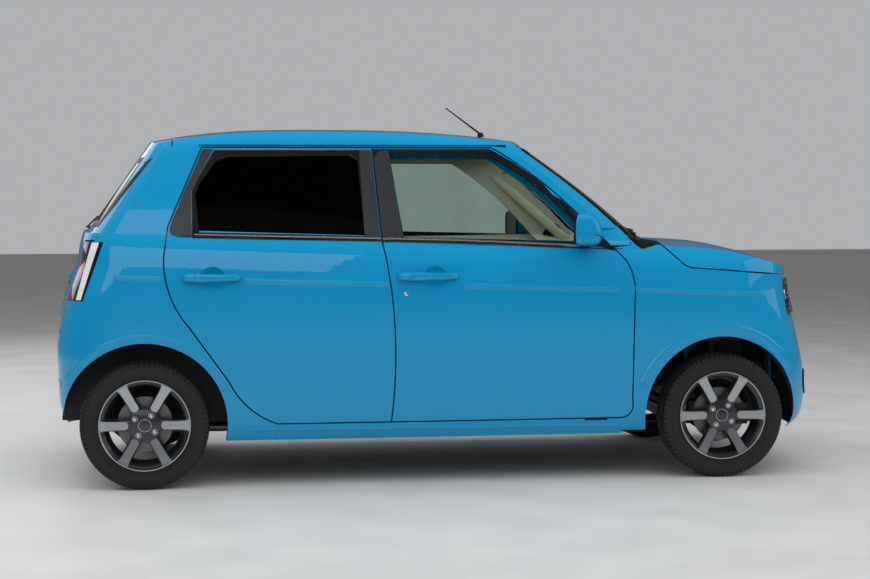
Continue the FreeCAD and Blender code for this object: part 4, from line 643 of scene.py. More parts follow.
def between(line, start, end):
    """Part of a line of (across, up) points from one place across to another."""
    def height(across):
        for (low, low_up), (high, high_up) in zip(line, line[1:]):
            if low <= across <= high:
                return low_up + (high_up - low_up) * (across - low) / (high - low)
        return line[0][1] if across < line[0][0] else line[-1][1]
    inside = [point for point in line if start < point[0] < end]
    return [(start, height(start))] + inside + [(end, height(end))]


def door_handle(place, side, rear, front):
    """Grip over the dish: rear cap with a split line, then a bar that thins towards the front."""
    skin = []
    for across in (rear, (rear + front) / 2, front):
        above, below = (place((across, HANDLE_UP + away), 0).y for away in (DISH, -DISH))
        skin.append((abs(above) + abs(below)) / 2)
    stations = []
    for share, proud, tall, sunk in HANDLE:
        weight = abs(share - 0.5) * 2
        flank = skin[1] * (1 - weight) + (skin[0] if share < 0.5 else skin[2]) * weight
        inner = -7 if sunk else proud - 15
        across, out = rear + (front - rear) * share, flank + (proud + inner) / 2 * MM
        stations.append(((across * MM, side * out, HANDLE_UP * MM), proud - inner, tall))
    return lofted(Vector((0, side * MM, 0)), Vector((0, 0, MM)), stations, 20, 3.0)


for hand, side in SIDES:
    front_door, rear_door = f"front_door_{hand}", f"rear_door_{hand}"
    on_front, on_rear, on_fender = (on_side(tree_of(name), side)
                                    for name in (front_door, rear_door, "front_fenders"))
    on_flank = on_side(tree_of(f"body_side_{hand}", "roof_panel"), side)
    front_belt, rear_belt = between(BELT, -283, 598), between(BELT, -1092, -289)
    jobs = [
        ("front_window_frame", front_door, BLACK_PLASTIC, laid(FRONT_FRAME, on_front, 1.6, 2.4)),
        ("rear_window_frame", rear_door, BLACK_PLASTIC, laid(REAR_FRAME, on_rear, 1.6, 2.4)),
        ("front_post_trim", front_door, SATIN_BLACK, laid(FRONT_POST, on_front, 3.0, 2.5)),
        ("rear_post_trim", rear_door, SATIN_BLACK, laid(REAR_POST, on_rear, 3.0, 2.5)),
        ("quarter_trim", rear_door, SATIN_BLACK, laid(QUARTER_TRIM, on_rear, 2.4, 3.4, step=30)),
        ("front_belt_seal", front_door, RUBBER, laid(along(front_belt, 0, 11), on_front, 2.6, 3.4)),
        ("rear_belt_seal", rear_door, RUBBER, laid(along(rear_belt, 0, 11), on_rear, 2.6, 3.4)),
        ("front_belt_strip", front_door, TRIM, arched(along(front_belt, 11, 19), on_front, 3.0, 1.8, 4)),
        ("rear_belt_strip", rear_door, TRIM, arched(along(rear_belt, 11, 19), on_rear, 3.0, 1.8, 4)),
        ("front_top_strip", front_door, SATIN_BLACK, laid(band(-312, 200, 1440, 1447), on_front, 3.6, 4)),
        ("rear_top_strip", rear_door, TRIM, laid(band(-993, -324, 1440, 1447), on_rear, 3.6, 4)),
        ("gutter", "body", RUBBER, laid(band(-1060, 330, 1454, 1464), on_flank, 1.4, 3.4, step=60))]
    for name, body, place, start, end in (
            ("quarter", "body", on_flank, -1420, -1222), ("rear_door", rear_door, on_rear, -872, -262),
            ("front_door", front_door, on_front, 62, 755), ("fender", "body", on_fender, 775, 1396)):
        fold = along(between(CREASE, start, end), -19, 8)
        sheet = arched(fold, place, -0.3, 5.0, 1.7, across=10, peak=0.72)
        jobs.append((f"crease_{name}", body, PAINT, sheet))
    jobs.append(("front_handle", front_door, PAINT, door_handle(on_front, side, -223, 42)))
    jobs.append(("rear_handle", rear_door, PAINT, door_handle(on_rear, side, -1138, -888)))
    for name, body, material, shape in jobs:
        slot = "paint" if material is PAINT else "dark_trim"
        piece(f"{name}_{hand}", *shape, body, [material], slot)
    lock, spot = Build(), (-186, 824)
    lock.add(stud(on_front, spot, [(12.6, -1), (12.6, 1.8), (11.4, 2.6), (9.2, 2.8), (8.9, 1.2)]), 0)
    lock.add(stud(on_front, spot, [(8.8, 0), (8.8, 2.2), (7.6, 2.9), (2, 3.1)]), 1)
    lock.piece(f"door_lock_{hand}", front_door, [PAINT, CHROME], "paint")

# --- door mirrors

MIRROR_OUTLINE = [  # (along, up) on the shell's section
    (505, 1035), (505, 1092), (506, 1150), (511, 1160), (522, 1165), (556, 1165), (588, 1160), (610, 1148),
    (625, 1128), (633, 1102), (635, 1078), (633, 1066.6), (629.5, 1066), (629.5, 1062), (633, 1061.4),
    (629, 1047), (618, 1035), (600, 1029), (556, 1027), (516, 1028)]
MIRROR_GROOVE = (11, 12, 13)  # sides of the outline that make the dark line round the shell
MIRROR_SCALE = [  # (out, size of the section there)
    (724, 0.55), (727, 0.76), (732, 0.88), (742, 0.96), (756, 1.0), (780, 1.01), (806, 1.0), (830, 0.965),
    (846, 0.91), (855, 0.83), (860, 0.72), (861.5, 0.55)]
MIRROR_TIP, MIRROR_REAR, MIRROR_LENGTH, MIRROR_UP = 861, 505, 131, 1096
GLASS_OUT, GLASS_UP = 793, 1097  # middle of the mirror's glass


def swept_back(out):
    """How much further forward the mirror lies at a place out than at its tip."""
    return 0.24 * (MIRROR_TIP - out)


def shell_point(side, across, out, up, scale):
    deep = across - MIRROR_REAR
    turn = swept_back(out) * (1 - 0.6 * deep / MIRROR_LENGTH)
    return Vector(((527 + deep * 0.93 * (0.35 + 0.65 * scale) + turn) * MM, side * out * MM,
                   (MIRROR_UP + (up - MIRROR_UP) * scale) * MM))


def mirror_edge(side, x, shrink):
    """Ring round the mirror's opening, shrunk towards its middle."""
    ring = [(out, MIRROR_UP + 68 * scale) for out, scale in MIRROR_SCALE]
    ring += [(out, MIRROR_UP - 66 * scale) for out, scale in reversed(MIRROR_SCALE)]
    return [Vector(((x + 22 + swept_back(out)) * MM, side * (GLASS_OUT + (out - GLASS_OUT) * shrink) * MM,
                    (GLASS_UP + (up - GLASS_UP) * shrink) * MM)) for out, up in ring]


for hand, side in SIDES:
    body = f"front_door_{hand}"
    points, faces = tube([[shell_point(side, across, out, up, scale) for across, up in MIRROR_OUTLINE]
                          for out, scale in MIRROR_SCALE])
    indices = [int(number < len(faces) - 2 and number % len(MIRROR_OUTLINE) in MIRROR_GROOVE)
               for number in range(len(faces))]
    cover = piece(f"mirror_shell_{hand}", points, faces, body, [PAINT, BLACK_PLASTIC], "paint", indices)
    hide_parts(f"door_mirror_{hand}")
    rim = Build()
    rim.add(quads([mirror_edge(side, x, shrink) for x, shrink in (
        (506, 1.0), (499, 0.995), (496.5, 0.96), (496.5, 0.91), (501, 0.89), (506, 0.89))],
        closed=True, wrap=True))
    arm = []
    for share in (0, 0.25, 0.5, 0.75, 1):
        centre = Vector((606 - 16 * share, side * (672 + 76 * share), 1030 + 22 * share ** 2)) * MM
        arm.append((centre, 74 - 14 * share, 30 - 4 * share))
    rim.add(lofted(Vector((MM, 0, 0)), Vector((0, 0, MM)), arm, 20, 2.6))
    rim.piece(f"mirror_rim_{hand}", body, [BLACK_PLASTIC], "dark_trim")
    glass = tube([mirror_edge(side, 500.6, 0.90), mirror_edge(side, 503, 0.90)])
    piece(f"mirror_glass_{hand}", *glass, body, [MIRROR], "steel")

# --- lamps, grille and bumpers

LAMP_BEZEL = [(-1462, 1050, -1482, 1050), (-1508, 926, -1523, 926), (-1553, 803, -1561, 803)]
LAMP_WHITE = [(-1483, 1048, -1514, 1048), (-1524, 926, -1550, 926), (-1562, 805, -1583, 805)]
LAMP_RIM = [
    (345, 876, 345, 870), (596, 862, 592, 857), (613, 790, 607, 790), (600, 716, 594, 722),
    (345, 708, 345, 714), (341, 790, 347, 790), (345, 876, 345, 870)]
LAMP_LENS = [
    (347, 872, 347, 712), (420, 870, 420, 712), (500, 867, 500, 715), (560, 863, 560, 718),
    (594, 858, 592, 724), (606, 800, 604, 780)]

for hand, side in SIDES:
    on_lamp = on_side(tree_of("tail_lamps"), side)
    bezel, white = laid(LAMP_BEZEL, on_lamp, 1.2, 2.4), laid(LAMP_WHITE, on_lamp, 1.4, 2.4, 12, 6)
    piece(f"lamp_bezel_{hand}", *bezel, "body", [BLACK_PLASTIC], "dark_trim")
    piece(f"lamp_white_{hand}", *white, "body", [WHITE_LENS], "lamp")

on_nose = on_end(tree_of("headlamps", "grille"), 1)
on_bumper = on_end(tree_of("front_bumper"), 1)
for hand, side in SIDES:
    at_nose, at_bumper = mirrored(on_nose, side), mirrored(on_bumper, side)
    lamp = Build()
    for spot, radius in (((426, 794), 66), ((548, 800), 50)):
        dish = [(radius, 2), (radius - 2, 5), (radius - 5, 5), (radius - 7, 1.6)]
        dish += [(radius * 0.55, 1), (9, 0.8)]
        lamp.add(stud(at_nose, spot, dish, 40), 0)
        lamp.add(stud(at_nose, spot, [(8.5, 1), (8.5, 7), (6, 9.5), (2, 10)], 20), 1)
    lamp.piece(f"lamp_dishes_{hand}", "body", [CHROME, WHITE_LENS], "lamp")
    rim = laid(LAMP_RIM, at_nose, 8, 10, step=30)
    piece(f"lamp_rim_{hand}", *rim, "body", [GUNMETAL], "dark_trim")
    lens = laid(LAMP_LENS, at_nose, 12.5, 2.5, step=30, across=8)
    piece(f"lamp_lens_{hand}", *lens, "body", [LENS], "clear_glass")
    indicator = laid([(470, 742, 470, 716), (592, 742, 588, 724)], at_nose, 4, 5, across=3)
    piece(f"indicator_{hand}", *indicator, "body", [AMBER], "lamp")
    fog, spot = Build(), (500, 398)
    fog.add(stud(at_bumper, spot, [(58, -1), (58, 4), (54, 6.5), (48, 6), (45, 1.5)], 40), 0)
    fog.add(stud(at_bumper, spot, [(45, 0.5), (44, 3), (30, 5), (4, 5.5)], 40), 1)
    fog.piece(f"fog_lamp_{hand}", "body", [BLACK_PLASTIC, WHITE_LENS], "lamp")

grille = Build()
for up in range(733, 854, 30):
    grille.add(arched(band(-322, 322, up - 5, up + 5), on_nose, 2, 9, 4, 40, 4), 0)
grille.add(laid(band(-330, 330, 878, 868), on_nose, 7, 9), 1)
grille.add(laid(band(-330, 330, 708, 716), on_nose, 7, 9), 1)
for side in (-1, 1):
    grille.add(laid([(331, 708, 323, 708), (331, 878, 323, 878)], mirrored(on_nose, side), 7, 9), 1)
grille.piece("grille_slats", "body", [GUNMETAL, SATIN_BLACK], "dark_trim")

# The intake follows the bumper but stays within a millimetre of the CAD's foremost line.
intake = Build()
intake.add(laid(band(-360, 360, 470, 330), on_bumper, 0.8, 2, 40, 8), 0)
backing = len(intake.points)
for up in (358, 386, 414, 442):
    intake.add(arched(band(-352, 352, up - 4, up + 4), on_bumper, 1, 6, 3, 40, 4), 1)
intake.add(arched(band(-366, 366, 476, 464), on_bumper, 0.5, 5, 3), 1)
intake.add(arched(band(-366, 366, 324, 336), on_bumper, 0.5, 5, 3), 1)
for number, point in enumerate(intake.points):
    point.x = min(point.x, CAD_BOX[1][0] + (0.3 * MM if number < backing else 0.9 * MM))
intake.piece("bumper_intake", "body", [BLACK_PLASTIC, SATIN_BLACK], "dark_trim")
plate = laid(band(-170, 170, 640, 480), on_bumper, 5, 6, 40, 6)
piece("plate_place_front", *plate, "body", [SATIN_BLACK], "dark_trim")

# --- glass edges, wipers and rear end

SCREEN_SIDE = [  # (out, share of the way down, out, share) at the left edge of the windscreen
    (572, 0.0, 536, 0.03), (590, 0.2, 556, 0.2), (604, 0.4, 571, 0.4), (616, 0.6, 584, 0.6),
    (628, 0.8, 596, 0.8), (640, 1.0, 606, 0.97)]
REAR_GLASS_EDGE = [
    (-560, 1408, -545, 1385), (-570, 1300, -540, 1300), (-575, 1200, -545, 1200), (-572, 1118, -545, 1140),
    (-300, 1114, -300, 1138), (0, 1112, 0, 1136), (300, 1114, 300, 1138), (572, 1118, 545, 1140),
    (575, 1200, 545, 1200), (570, 1300, 540, 1300), (560, 1408, 545, 1385), (300, 1412, 300, 1390),
    (0, 1413, 0, 1391), (-300, 1412, -300, 1390), (-560, 1408, -545, 1385)]
SCREEN_TREE = tree_of("windscreen")


def on_screen(spot, lift):
    """Places on the windscreen: a spot is (out from the middle, share of the way down)."""
    way = Vector((-0.56, 0, -0.83))
    start = Vector((0.352 + 0.573 * spot[1], spot[0] * MM, 1.452 - 0.390 * spot[1]))
    return landed(SCREEN_TREE, start - way * 0.5, way, lift)


border = Build()
for low, high in ((0.0, 0.07), (0.91, 1.0)):
    border.add(laid([(out, low, out, high) for out in range(-600, 601, 60)], on_screen, 1.0, 1.6, 60))
for side in (-1, 1):
    border.add(laid(SCREEN_SIDE, mirrored(on_screen, side), 1.3, 1.9, 20))
border.piece("screen_border", "body", [BLACK_PLASTIC], "dark_trim")

on_tail = on_end(tree_of("tailgate_glass", "tailgate"), -1)
edge = laid(REAR_GLASS_EDGE, on_tail, 1.2, 2.0, 60)
piece("rear_glass_border", *edge, "tailgate", [BLACK_PLASTIC], "dark_trim")
grip = Build()
grip.add(arched(band(-245, 245, 905, 868), on_tail, 1, 11, 3, 40, 6), 0)
grip.add(laid(band(-180, 180, 866, 852), on_tail, 4, 5, 40), 1)
grip.piece("tailgate_grip", "tailgate", [PAINT, BLACK_PLASTIC], "paint")
plate = laid(band(-168, 168, 838, 700), on_tail, 2.5, 3.5, 40, 4)
piece("plate_place_rear", *plate, "tailgate", [SATIN_BLACK], "dark_trim")
on_rear_bumper = on_end(tree_of("rear_bumper"), -1)
reflectors = Build()
for side in (-1, 1):
    reflectors.add(laid(band(430, 560, 452, 424), mirrored(on_rear_bumper, side), 2.5, 3.5, 30, 3))
reflectors.piece("rear_reflectors", "body", [RED_LENS], "tail_lamp")


def part_way(start, end, share):
    return tuple(low + (high - low) * share for low, high in zip(start, end))


def swept(place, start, end, lift, widths, tall, count, up):
    """Tapered bar that follows the glass from start to end."""
    rings = []
    for number in range(count + 1):
        share = number / count
        before = place(part_way(start, end, max(0.0, share - 0.05)), lift)
        after = place(part_way(start, end, min(1.0, share + 0.05)), lift)
        run = (after - before).normalized()
        side = run.cross(up).normalized()
        width = widths[0] + (widths[1] - widths[0]) * share
        middle = place(part_way(start, end, share), lift)
        rings.append(oval(middle, side * MM, side.cross(run) * MM, width, tall, 12, 3.0))
    return tube(rings)


def add_wiper(build, place, up, pivot, elbow, low, high):
    """Wiper: tapered arm, a blade with its rubber and clips, and a pivot cap, all close to the glass."""
    build.add(swept(place, pivot, elbow, 15, (20, 11), 8, 8, up), 0)
    build.add(swept(place, low, high, 9, (9, 9), 5, 14, up), 0)
    build.add(swept(place, low, high, 3.5, (3, 3), 6.5, 14, up), 1)
    for share in (0.12, 0.34, 0.5, 0.66, 0.88):
        middle = place(part_way(low, high, share), 9)
        clip = middle - Vector((0.008, 0.012, 0.003)), middle + Vector((0.008, 0.012, 0.004))
        build.add(rounded_box(*clip, 0.002, 2), 0)
    cap = place(pivot, 8)
    rings = [(cap + up * height, size, size)
             for height, size in ((-0.012, 30), (0.004, 30), (0.009, 24), (0.011, 10))]
    build.add(lofted(Vector((MM, 0, 0)), Vector((0, MM, 0)), rings, 20), 2)


WIPER_MATERIALS = [SATIN_BLACK, RUBBER, STEEL]
wipers, up = Build(), Vector((0.56, 0, 0.83))
add_wiper(wipers, on_screen, up, (-60, 1.0), (-320, 0.955), (-585, 0.945), (-70, 0.955))
add_wiper(wipers, on_screen, up, (440, 1.0), (180, 0.955), (-20, 0.95), (440, 0.96))
blades = wipers.piece("screen_wipers", "body", WIPER_MATERIALS, "dark_trim")
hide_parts("windscreen_wipers")
wipers = Build()
add_wiper(wipers, on_tail, Vector((-0.8, 0, 0.6)), (0, 1098), (170, 1140), (20, 1128), (335, 1150))
blades = wipers.piece("tail_wiper", "tailgate", WIPER_MATERIALS, "dark_trim")
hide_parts("rear_wiper")

# --- arches, sills and small panels

PILLAR_FOOT = [  # (along, out, up) at the two edges of the sheet over each A-pillar's foot
    ((713, 690, 1026), (828, 648, 1026)), ((703, 688, 1042), (820, 645, 1042)),
    ((693, 685, 1054), (811, 643, 1054)), ((679, 681, 1070), (797, 640, 1070)),
    ((664, 677, 1086), (782, 637, 1086)), ((650, 673, 1100), (768, 634, 1100)),
    ((640, 670, 1110), (757, 632, 1110))]
FLAP_CORNERS = [
    (-1292, 938), (-1286, 944), (-1204, 940), (-1198, 934), (-1198, 846), (-1204, 840), (-1286, 844),
    (-1292, 850)]


def arch_pairs(end, width, start, stop, count=22):
    """Pairs round a wheel arch from its edge outward, between two angles."""
    axle, hub, inner, outer = AXLE_X[end] / MM, HUB_Z / MM, ARCH + 1, ARCH + width
    angles = [math.radians(start + (stop - start) * number / count) for number in range(count + 1)]
    return [(axle + inner * math.cos(angle), hub + inner * math.sin(angle),
             axle + outer * math.cos(angle), hub + outer * math.sin(angle)) for angle in angles]


def pillar_foot(side):
    """Crowned sheet that closes the hole in the body side at the foot of the A-pillar."""
    count, crown, skins = 8, 5, []
    for depth in (0, 2.5):
        rows = []
        for low, high in PILLAR_FOOT:
            row = [Vector(low).lerp(Vector(high), number / count) for number in range(count + 1)]
            for number, point in enumerate(row):
                point.y = side * (point.y + crown * math.sin(math.pi * number / count) - depth)
            rows.append([point * MM for point in row])
        skins.append(rows)
    return slab(*skins)


def wheelhouse_wall(side):
    """Plate over the hole in the rear wheelhouse's inner wall, from the floor up to the arch."""
    radius, floor, skins = 0.356, 0.478, []
    for out in (side * 0.5495, side * 0.5455):
        low, high = [], []
        for number in range(25):
            angle = math.radians(36 + 4.5 * number)
            x = AXLE_X["rear"] + radius * math.cos(angle)
            low.append(Vector((x, out, floor)))
            high.append(Vector((x, out, HUB_Z + radius * math.sin(angle))))
        skins.append([low, high])
    return slab(*skins)


for hand, side in SIDES:
    on_fender = on_side(tree_of("front_fenders", "front_bumper"), side)
    on_quarter = on_side(tree_of(f"body_side_{hand}", "rear_bumper"), side)
    on_sill = on_side(tree_of(f"body_side_{hand}"), side)
    front_lip = arched(arch_pairs("front", 56, 30, 158), on_fender, -0.6, 5.0, 1.2, 40, 10, peak=0.8)
    rear_lip = arched(arch_pairs("rear", 42, 24, 150), on_quarter, -0.6, 4.6, 1.2, 40, 10, peak=0.8)
    rib = arched([(-860, 262, -860, 236), (820, 250, 820, 224)], on_sill, -0.5, 3.2, 1.4, 60, 6)
    for name, shape in (("front_arch_lip", front_lip), ("rear_arch_lip", rear_lip), ("sill_rib", rib)):
        piece(f"{name}_{hand}", *shape, "body", [PAINT], "paint")
for hand, side in SIDES:
    piece(f"pillar_foot_{hand}", *pillar_foot(side), "body", [PAINT], "paint")
    piece(f"wheelhouse_wall_{hand}", *wheelhouse_wall(side), "body", [UNDERSEAL], "underbody")

middle = Vector((-1245, 892))
gap = [(*corner, *Vector(corner).lerp(middle, 0.055)) for corner in FLAP_CORNERS + FLAP_CORNERS[:1]]
gap = laid(gap, on_side(tree_of("body_side_left"), 1), 0.5, 1.2, 200, 1)
piece("fuel_flap_gap", *gap, "body", [BLACK_PLASTIC], "dark_trim")

# --- cabin: in metres; a pad's row is x, z, its two ways, half its width, length and thickness, its raised
# sides, its long seam and its cross seams, the last two as shares of the half

X_WAY, Y_WAY, Z_WAY = Vector((1, 0, 0)), Vector((0, 1, 0)), Vector((0, 0, 1))
LEAN, FORWARD = Vector((-0.25, 0, 0.968)).normalized(), Vector((0.968, 0, 0.25)).normalized()
BENCH_LEAN, BENCH_FORWARD = Vector((-0.274, 0, 0.962)).normalized(), Vector((0.962, 0, 0.274)).normalized()
PAD_GRID, PAD_POWER = 34, 5
SEAM_DEPTH, SEAM_WIDTH, PAD_CROWN = 0.007, 0.006, 0.010


def pad(middle, along, out, half_wide, half_long, half_thick, bolster, side_seam, seams=()):
    """Closed cushion across the car: pillow edges, raised sides and seams pressed into its face."""
    def seam(distance):
        return SEAM_DEPTH * math.exp(-(distance / SEAM_WIDTH) ** 2)
    grid = [math.sin(math.pi / 2 * (2 * number / PAD_GRID - 1)) for number in range(PAD_GRID + 1)]
    front, back = [], []
    for v in grid:
        upper, lower = [], []
        for u in grid:
            round_u, round_v = ((1 - abs(share) ** PAD_POWER) ** (1 / PAD_POWER) for share in (u, v))
            edge = round_u * round_v
            thick = half_thick * min(round_u, round_v) ** 0.5 * max(edge, 0.0) ** 0.5
            raised = bolster * max(0.0, (abs(u) - 0.55) / 0.45) * (1 - max(0.0, (abs(u) - 0.82) / 0.18) ** 2)
            groove = seam((abs(u) - side_seam) * half_wide)
            if abs(u) < side_seam:
                groove += sum(seam((v - place) * half_long) for place in seams)
            crown = PAD_CROWN * (1 - u * u) * (1 - v * v)
            spot = middle + Y_WAY * (u * half_wide * (1 - 0.03 * abs(v) ** 3)) + along * (v * half_long)
            upper.append(spot + out * (thick + (raised + crown - groove) * min(1.0, edge * 1.6)))
            lower.append(spot - out * thick)
        front.append(upper)
        back.append(lower)
    return slab(front, back)


for hand, side in SIDES:
    seat, frame_parts = Build(), Build()
    centre = side * 0.302
    for x, z, *rest in (
            (0.105, 0.400, X_WAY, Z_WAY, 0.235, 0.225, 0.062, 0.020, 0.56, (-0.30, 0.28)),
            (-0.186, 0.735, LEAN, FORWARD, 0.228, 0.268, 0.044, 0.026, 0.56, (-0.36, 0.20, 0.62)),
            (-0.288, 1.105, LEAN, FORWARD, 0.122, 0.072, 0.036, 0.004, 0.80)):
        seat.add(pad(Vector((x, centre, z)), *rest))
    frame_parts.add(block((-0.10, 0.29), centre, 0.20, (0.275, 0.352), 0.02), 0)
    for out in (-0.17, 0.17):
        frame_parts.add(block((-0.15, 0.30), centre + out, 0.018, (0.246, 0.285), 0.004), 1)
    for out in (-0.045, 0.045):
        posts = [((x, centre + out, z), 0.011, 0.011) for x, z in ((-0.262, 0.98), (-0.283, 1.07))]
        frame_parts.add(lofted(X_WAY, Y_WAY, posts, 12), 1)
    low, high = (-0.175, centre + side * 0.215, 0.33), (0.06, centre + side * 0.235, 0.40)
    frame_parts.add(rounded_box(low, high, 0.008), 0)
    cover = seat.piece(f"seat_cover_{hand}", "body", [CLOTH], "fabric", angle=60)
    base = frame_parts.piece(f"seat_frame_{hand}", "body", [CABIN_BLACK, STEEL], "interior")
    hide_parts("front_seats")
    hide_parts("front_seats")

bench = Build()
for side in (-1, 1):
    for x, z, *rest in (
            (-0.600, 0.415, X_WAY, Z_WAY, 0.257, 0.172, 0.058, 0.010, 0.60, (-0.1,)),
            (-0.838, 0.735, BENCH_LEAN, BENCH_FORWARD, 0.255, 0.270, 0.044, 0.012, 0.60, (-0.3, 0.35))):
        bench.add(pad(Vector((x, side * 0.258, z)), *rest))
cover = bench.piece("bench_cover", "body", [CLOTH], "fabric", angle=60)
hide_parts("rear_seat")

for hand, side in SIDES:
    for end, low, high in (("front", -150, 560), ("rear", -860, -370)):
        body = f"{end}_door_{hand}"
        inner = inside_of(body, side)
        card = Build()
        card.add(laid(band(low, high, 420, 985), inner, 6, 6.5, 60, 12), 0)
        card.add(arched(band(low + 10, high - 60, 700, 740), inner, 6, 34, 2, 50), 1)
        rail = [(low + 10, 975, low + 10, 1030), (high - 10, 968, high - 10, 1022)]
        card.add(arched(rail, inner, 4, 10, 2, 60), 0)
        card.add(block((high * MM - 0.13, high * MM - 0.05), side * 0.628, 0.012, (0.775, 0.80), 0.006), 2)
        card.add(arched(band(low + 40, high - 80, 460, 580), inner, 6, 18, 2, 50), 1)
        card.piece(f"{end}_door_card_{hand}", body, [BEIGE, CABIN_BLACK, CHROME], "interior")

DASH_HOOD = ((-0.525, 0.10, 0.02), (-0.50, 0.17, 0.055), (-0.42, 0.20, 0.085), (-0.335, 0.21, 0.095),
             (-0.25, 0.20, 0.085), (-0.17, 0.17, 0.055), (-0.145, 0.10, 0.02))
GAUGE = ((0.53, 0.085), (0.512, 0.085), (0.509, 0.079), (0.515, 0.075))
KNOB = ((0.57, 0.044), (0.540, 0.040), (0.536, 0.034))
LEVER = ((0, 0.05), (1, 0.03), (2, 0.018), (3, 0.016), (3.2, 0.040), (3.8, 0.046), (4.1, 0.03))
dash = Build()
hood = [((0.62, out, 0.930), wide, tall * 1.6) for out, wide, tall in DASH_HOOD]
dash.add(lofted(X_WAY, Z_WAY, hood, 28, 2.6), 0)
for out in (-0.40, -0.27):
    dash.add(lofted(Y_WAY, Z_WAY, [((x, out, 0.935), size, size) for x, size in GAUGE], 28), 1)
dash.add(block((0.560, 0.640), 0, 0.115, (0.62, 0.90), 0.02), 0)
for up, tall in ((0.86, 0.05), (0.79, 0.052)):
    dash.add(block((0.548, 0.57), 0, 0.092, (up - tall / 2, up + tall / 2), 0.004), 1)
for out in (-0.062, 0.0, 0.062):
    dash.add(lofted(Y_WAY, Z_WAY, [((x, out, 0.70), size, size) for x, size in KNOB], 24), 2)
for out, up in ((-0.50, 0.895), (-0.085, 0.925), (0.085, 0.925), (0.50, 0.895)):
    for rise in (0.0, 0.012, 0.024, 0.036):
        slat = (up - 0.020 + rise, up - 0.015 + rise)
        dash.add(block((0.572, 0.60), out, 0.036, slat, 0.002, 2), 1)
dash.add(block((0.566, 0.62), 0.32, 0.18, (0.66, 0.80), 0.015), 0)
dash.add(block((0.558, 0.572), 0.32, 0.04, (0.775, 0.79), 0.004), 2)
dash.piece("dash_details", "body", [CABIN_BLACK, BLACK_PLASTIC, SATIN_BLACK], "interior")

console = Build()
console.add(block((0.10, 0.50), 0, 0.075, (0.245, 0.40), 0.02), 0)
lever = [((0.43 - 0.02 * step, 0, 0.38 + 0.06 * step), size, size) for step, size in LEVER]
console.add(lofted(X_WAY, Y_WAY, lever), 0)
console.add(block((-0.14, 0.08), -0.015, 0.015, (0.38, 0.43), 0.012), 0)
for out in (-0.42, -0.33, -0.24):
    console.add(block((0.66, 0.672), out, 0.025, (0.37, 0.44), 0.004), 1)
console.piece("floor_console", "body", [CABIN_BLACK, RUBBER], "interior")

pillars = Build()
for side in (-1, 1):
    for step in range(8):
        rings = [((0.335 + 0.056 * part, side * (0.548 + 0.006 * part), 1.395 - 0.047 * part), 0.048, 0.036)
                 for part in (step, step + 1)]
        pillars.add(lofted(Vector((0.64, 0, 0.77)), Y_WAY, rings, 14, 3))
pillars.piece("screen_pillar_trims", "body", [BEIGE], "interior")

visors = Build()
for out in (-0.30, 0.30):
    visors.add(block((0.26, 0.40), out, 0.17, (1.425, 1.440), 0.007, 3), 0)
visors.add(block((0.37, 0.388), 0, 0.105, (1.345, 1.400), 0.008, 3), 1)
visors.add(block((0.366, 0.371), 0, 0.098, (1.350, 1.395), 0.002, 2), 2)
stalk = [((0.38, 0, 1.39), 0.014, 0.014), ((0.395, 0, 1.425), 0.014, 0.014)]
visors.add(lofted(X_WAY, Y_WAY, stalk, 12), 1)
visors.piece("visors_and_mirror", "body", [HEADLINER, CABIN_BLACK, MIRROR], "interior")

TILT = math.radians(28)
WHEEL_UP = Vector((math.sin(TILT), 0, math.cos(TILT)))
WHEEL_OUT = Vector((-math.cos(TILT), 0, math.sin(TILT)))
HUB = Vector((0.335, -0.335, 0.835))
HORN = ((-0.030, 0.15, 0.125), (0.000, 0.15, 0.125), (0.010, 0.14, 0.115), (0.016, 0.11, 0.09),
        (0.018, 0.05, 0.04))
ARMS = ((Y_WAY * -1, WHEEL_UP, 0.070, 0.040), (Y_WAY, WHEEL_UP, 0.070, 0.040),
        (WHEEL_UP * -1, Y_WAY, 0.058, 0.046))
horn = Build()
rings = [(HUB + WHEEL_OUT * out, wide, tall) for out, wide, tall in HORN]
horn.add(lofted(Y_WAY, WHEEL_UP, rings, 32, 2.6), 0)
for way, across, start, width in ARMS:
    stations = ((start, 0.002, width), (0.11, -0.002, 0.034), (0.165, 0.0, 0.026))
    rings = [(HUB + way * out + WHEEL_OUT * lift, wide, 0.010) for out, lift, wide in stations]
    horn.add(lofted(across, WHEEL_OUT, rings, 12, 3), 1)
horn.piece("steering_wheel_pad", "steering_wheel", [CABIN_BLACK, SILVER], "interior")

# --- stage, light and camera

AMBIENT, REFLECTED, BACKDROP = 0.40, 0.12, 0.55


def stage_floor():
    bpy.ops.mesh.primitive_plane_add(size=60)
    floor = bpy.context.object
    floor.name = "floor"
    floor.data.materials.append(textured("floor", srgb(196, 196, 194), 0.55, spread=0.04, scale=3, bump=0.05))


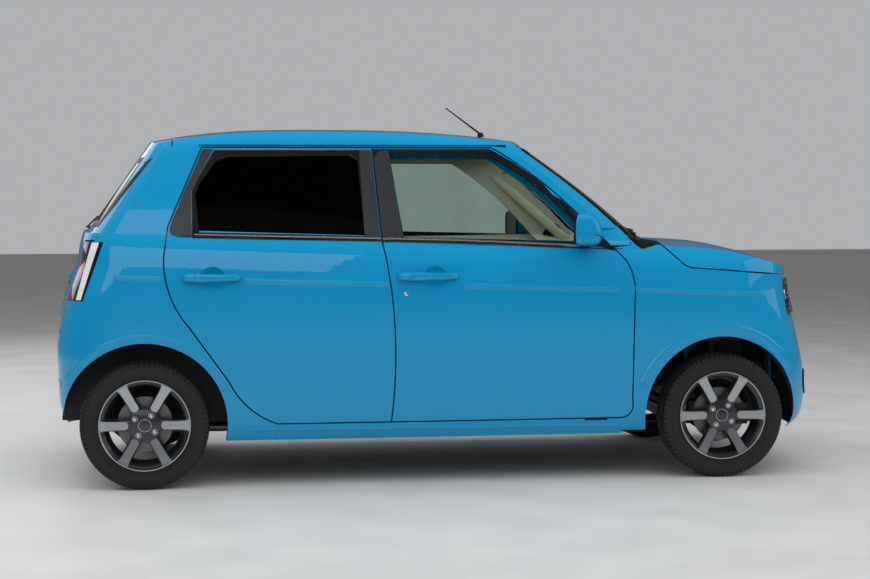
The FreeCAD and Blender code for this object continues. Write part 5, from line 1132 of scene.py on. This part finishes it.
def soft_box(name, place, aim, size, power):
    light = bpy.data.lights.new(name, "AREA")
    light.shape = "RECTANGLE"
    light.size, light.size_y = size
    light.energy = power
    lamp = bpy.data.objects.new(name, light)
    lamp.location = place
    lamp.rotation_euler = (Vector(aim) - Vector(place)).to_track_quat("-Z", "Y").to_euler()
    bpy.context.scene.collection.objects.link(lamp)
    return lamp


def studio_world():
    """Pale surroundings; reflections see them much darker, so that paint and glass keep their depth."""
    world = bpy.data.worlds.new("studio")
    world.use_nodes = True
    tree = world.node_tree
    strength = AMBIENT
    for ray, value in (("Glossy", REFLECTED), ("Transmission", BACKDROP), ("Camera", BACKDROP)):
        is_ray = add_node(tree, "LightPath", f"Is {ray} Ray")
        strength = add_node(tree, "Mix", 0, {0: is_ray, 2: strength, 3: value}, data_type="FLOAT")
    feed(tree, tree.nodes["Background"], {"Strength": strength, "Color": srgb(228, 230, 233)})
    bpy.context.scene.world = world


def photo_camera():
    """The camera that was fitted to the photograph."""
    data = bpy.data.cameras.new("camera")
    data.lens = 74.48
    data.sensor_width = 36.0
    camera = bpy.data.objects.new("camera", data)
    yaw, pitch, roll = (math.radians(angle) for angle in (-7.56, 90 - 3.06, -0.10))
    turn = Matrix.Rotation(yaw, 4, "Z") @ Matrix.Rotation(pitch, 4, "X") @ Matrix.Rotation(roll, 4, "Z")
    camera.matrix_world = Matrix.Translation((-1.077, -8.381, 1.254)) @ turn
    bpy.context.scene.collection.objects.link(camera)
    bpy.context.scene.camera = camera


stage_floor()
studio_world()
overhead = soft_box("overhead", (-0.3, -0.9, 4.6), (0, 0, 0.7), (14.0, 9.0), 540)
overhead.visible_glossy = False
soft_box("side", (-3.0, -6.5, 3.2), (0, 0, 0.7), (7.0, 3.0), 85)
soft_box("front", (6.0, -3.0, 3.0), (0.8, 0, 0.7), (7.0, 3.5), 70)
soft_box("back", (-4.5, 5.0, 3.4), (0, 0, 0.8), (7.0, 3.5), 105)
cabin = soft_box("cabin", (-0.1, 0, 1.40), (-0.1, 0, 0.5), (1.1, 0.6), 5)
cabin.visible_camera = cabin.visible_glossy = cabin.visible_transmission = False
photo_camera()
bpy.context.scene.view_settings.view_transform = "Standard"
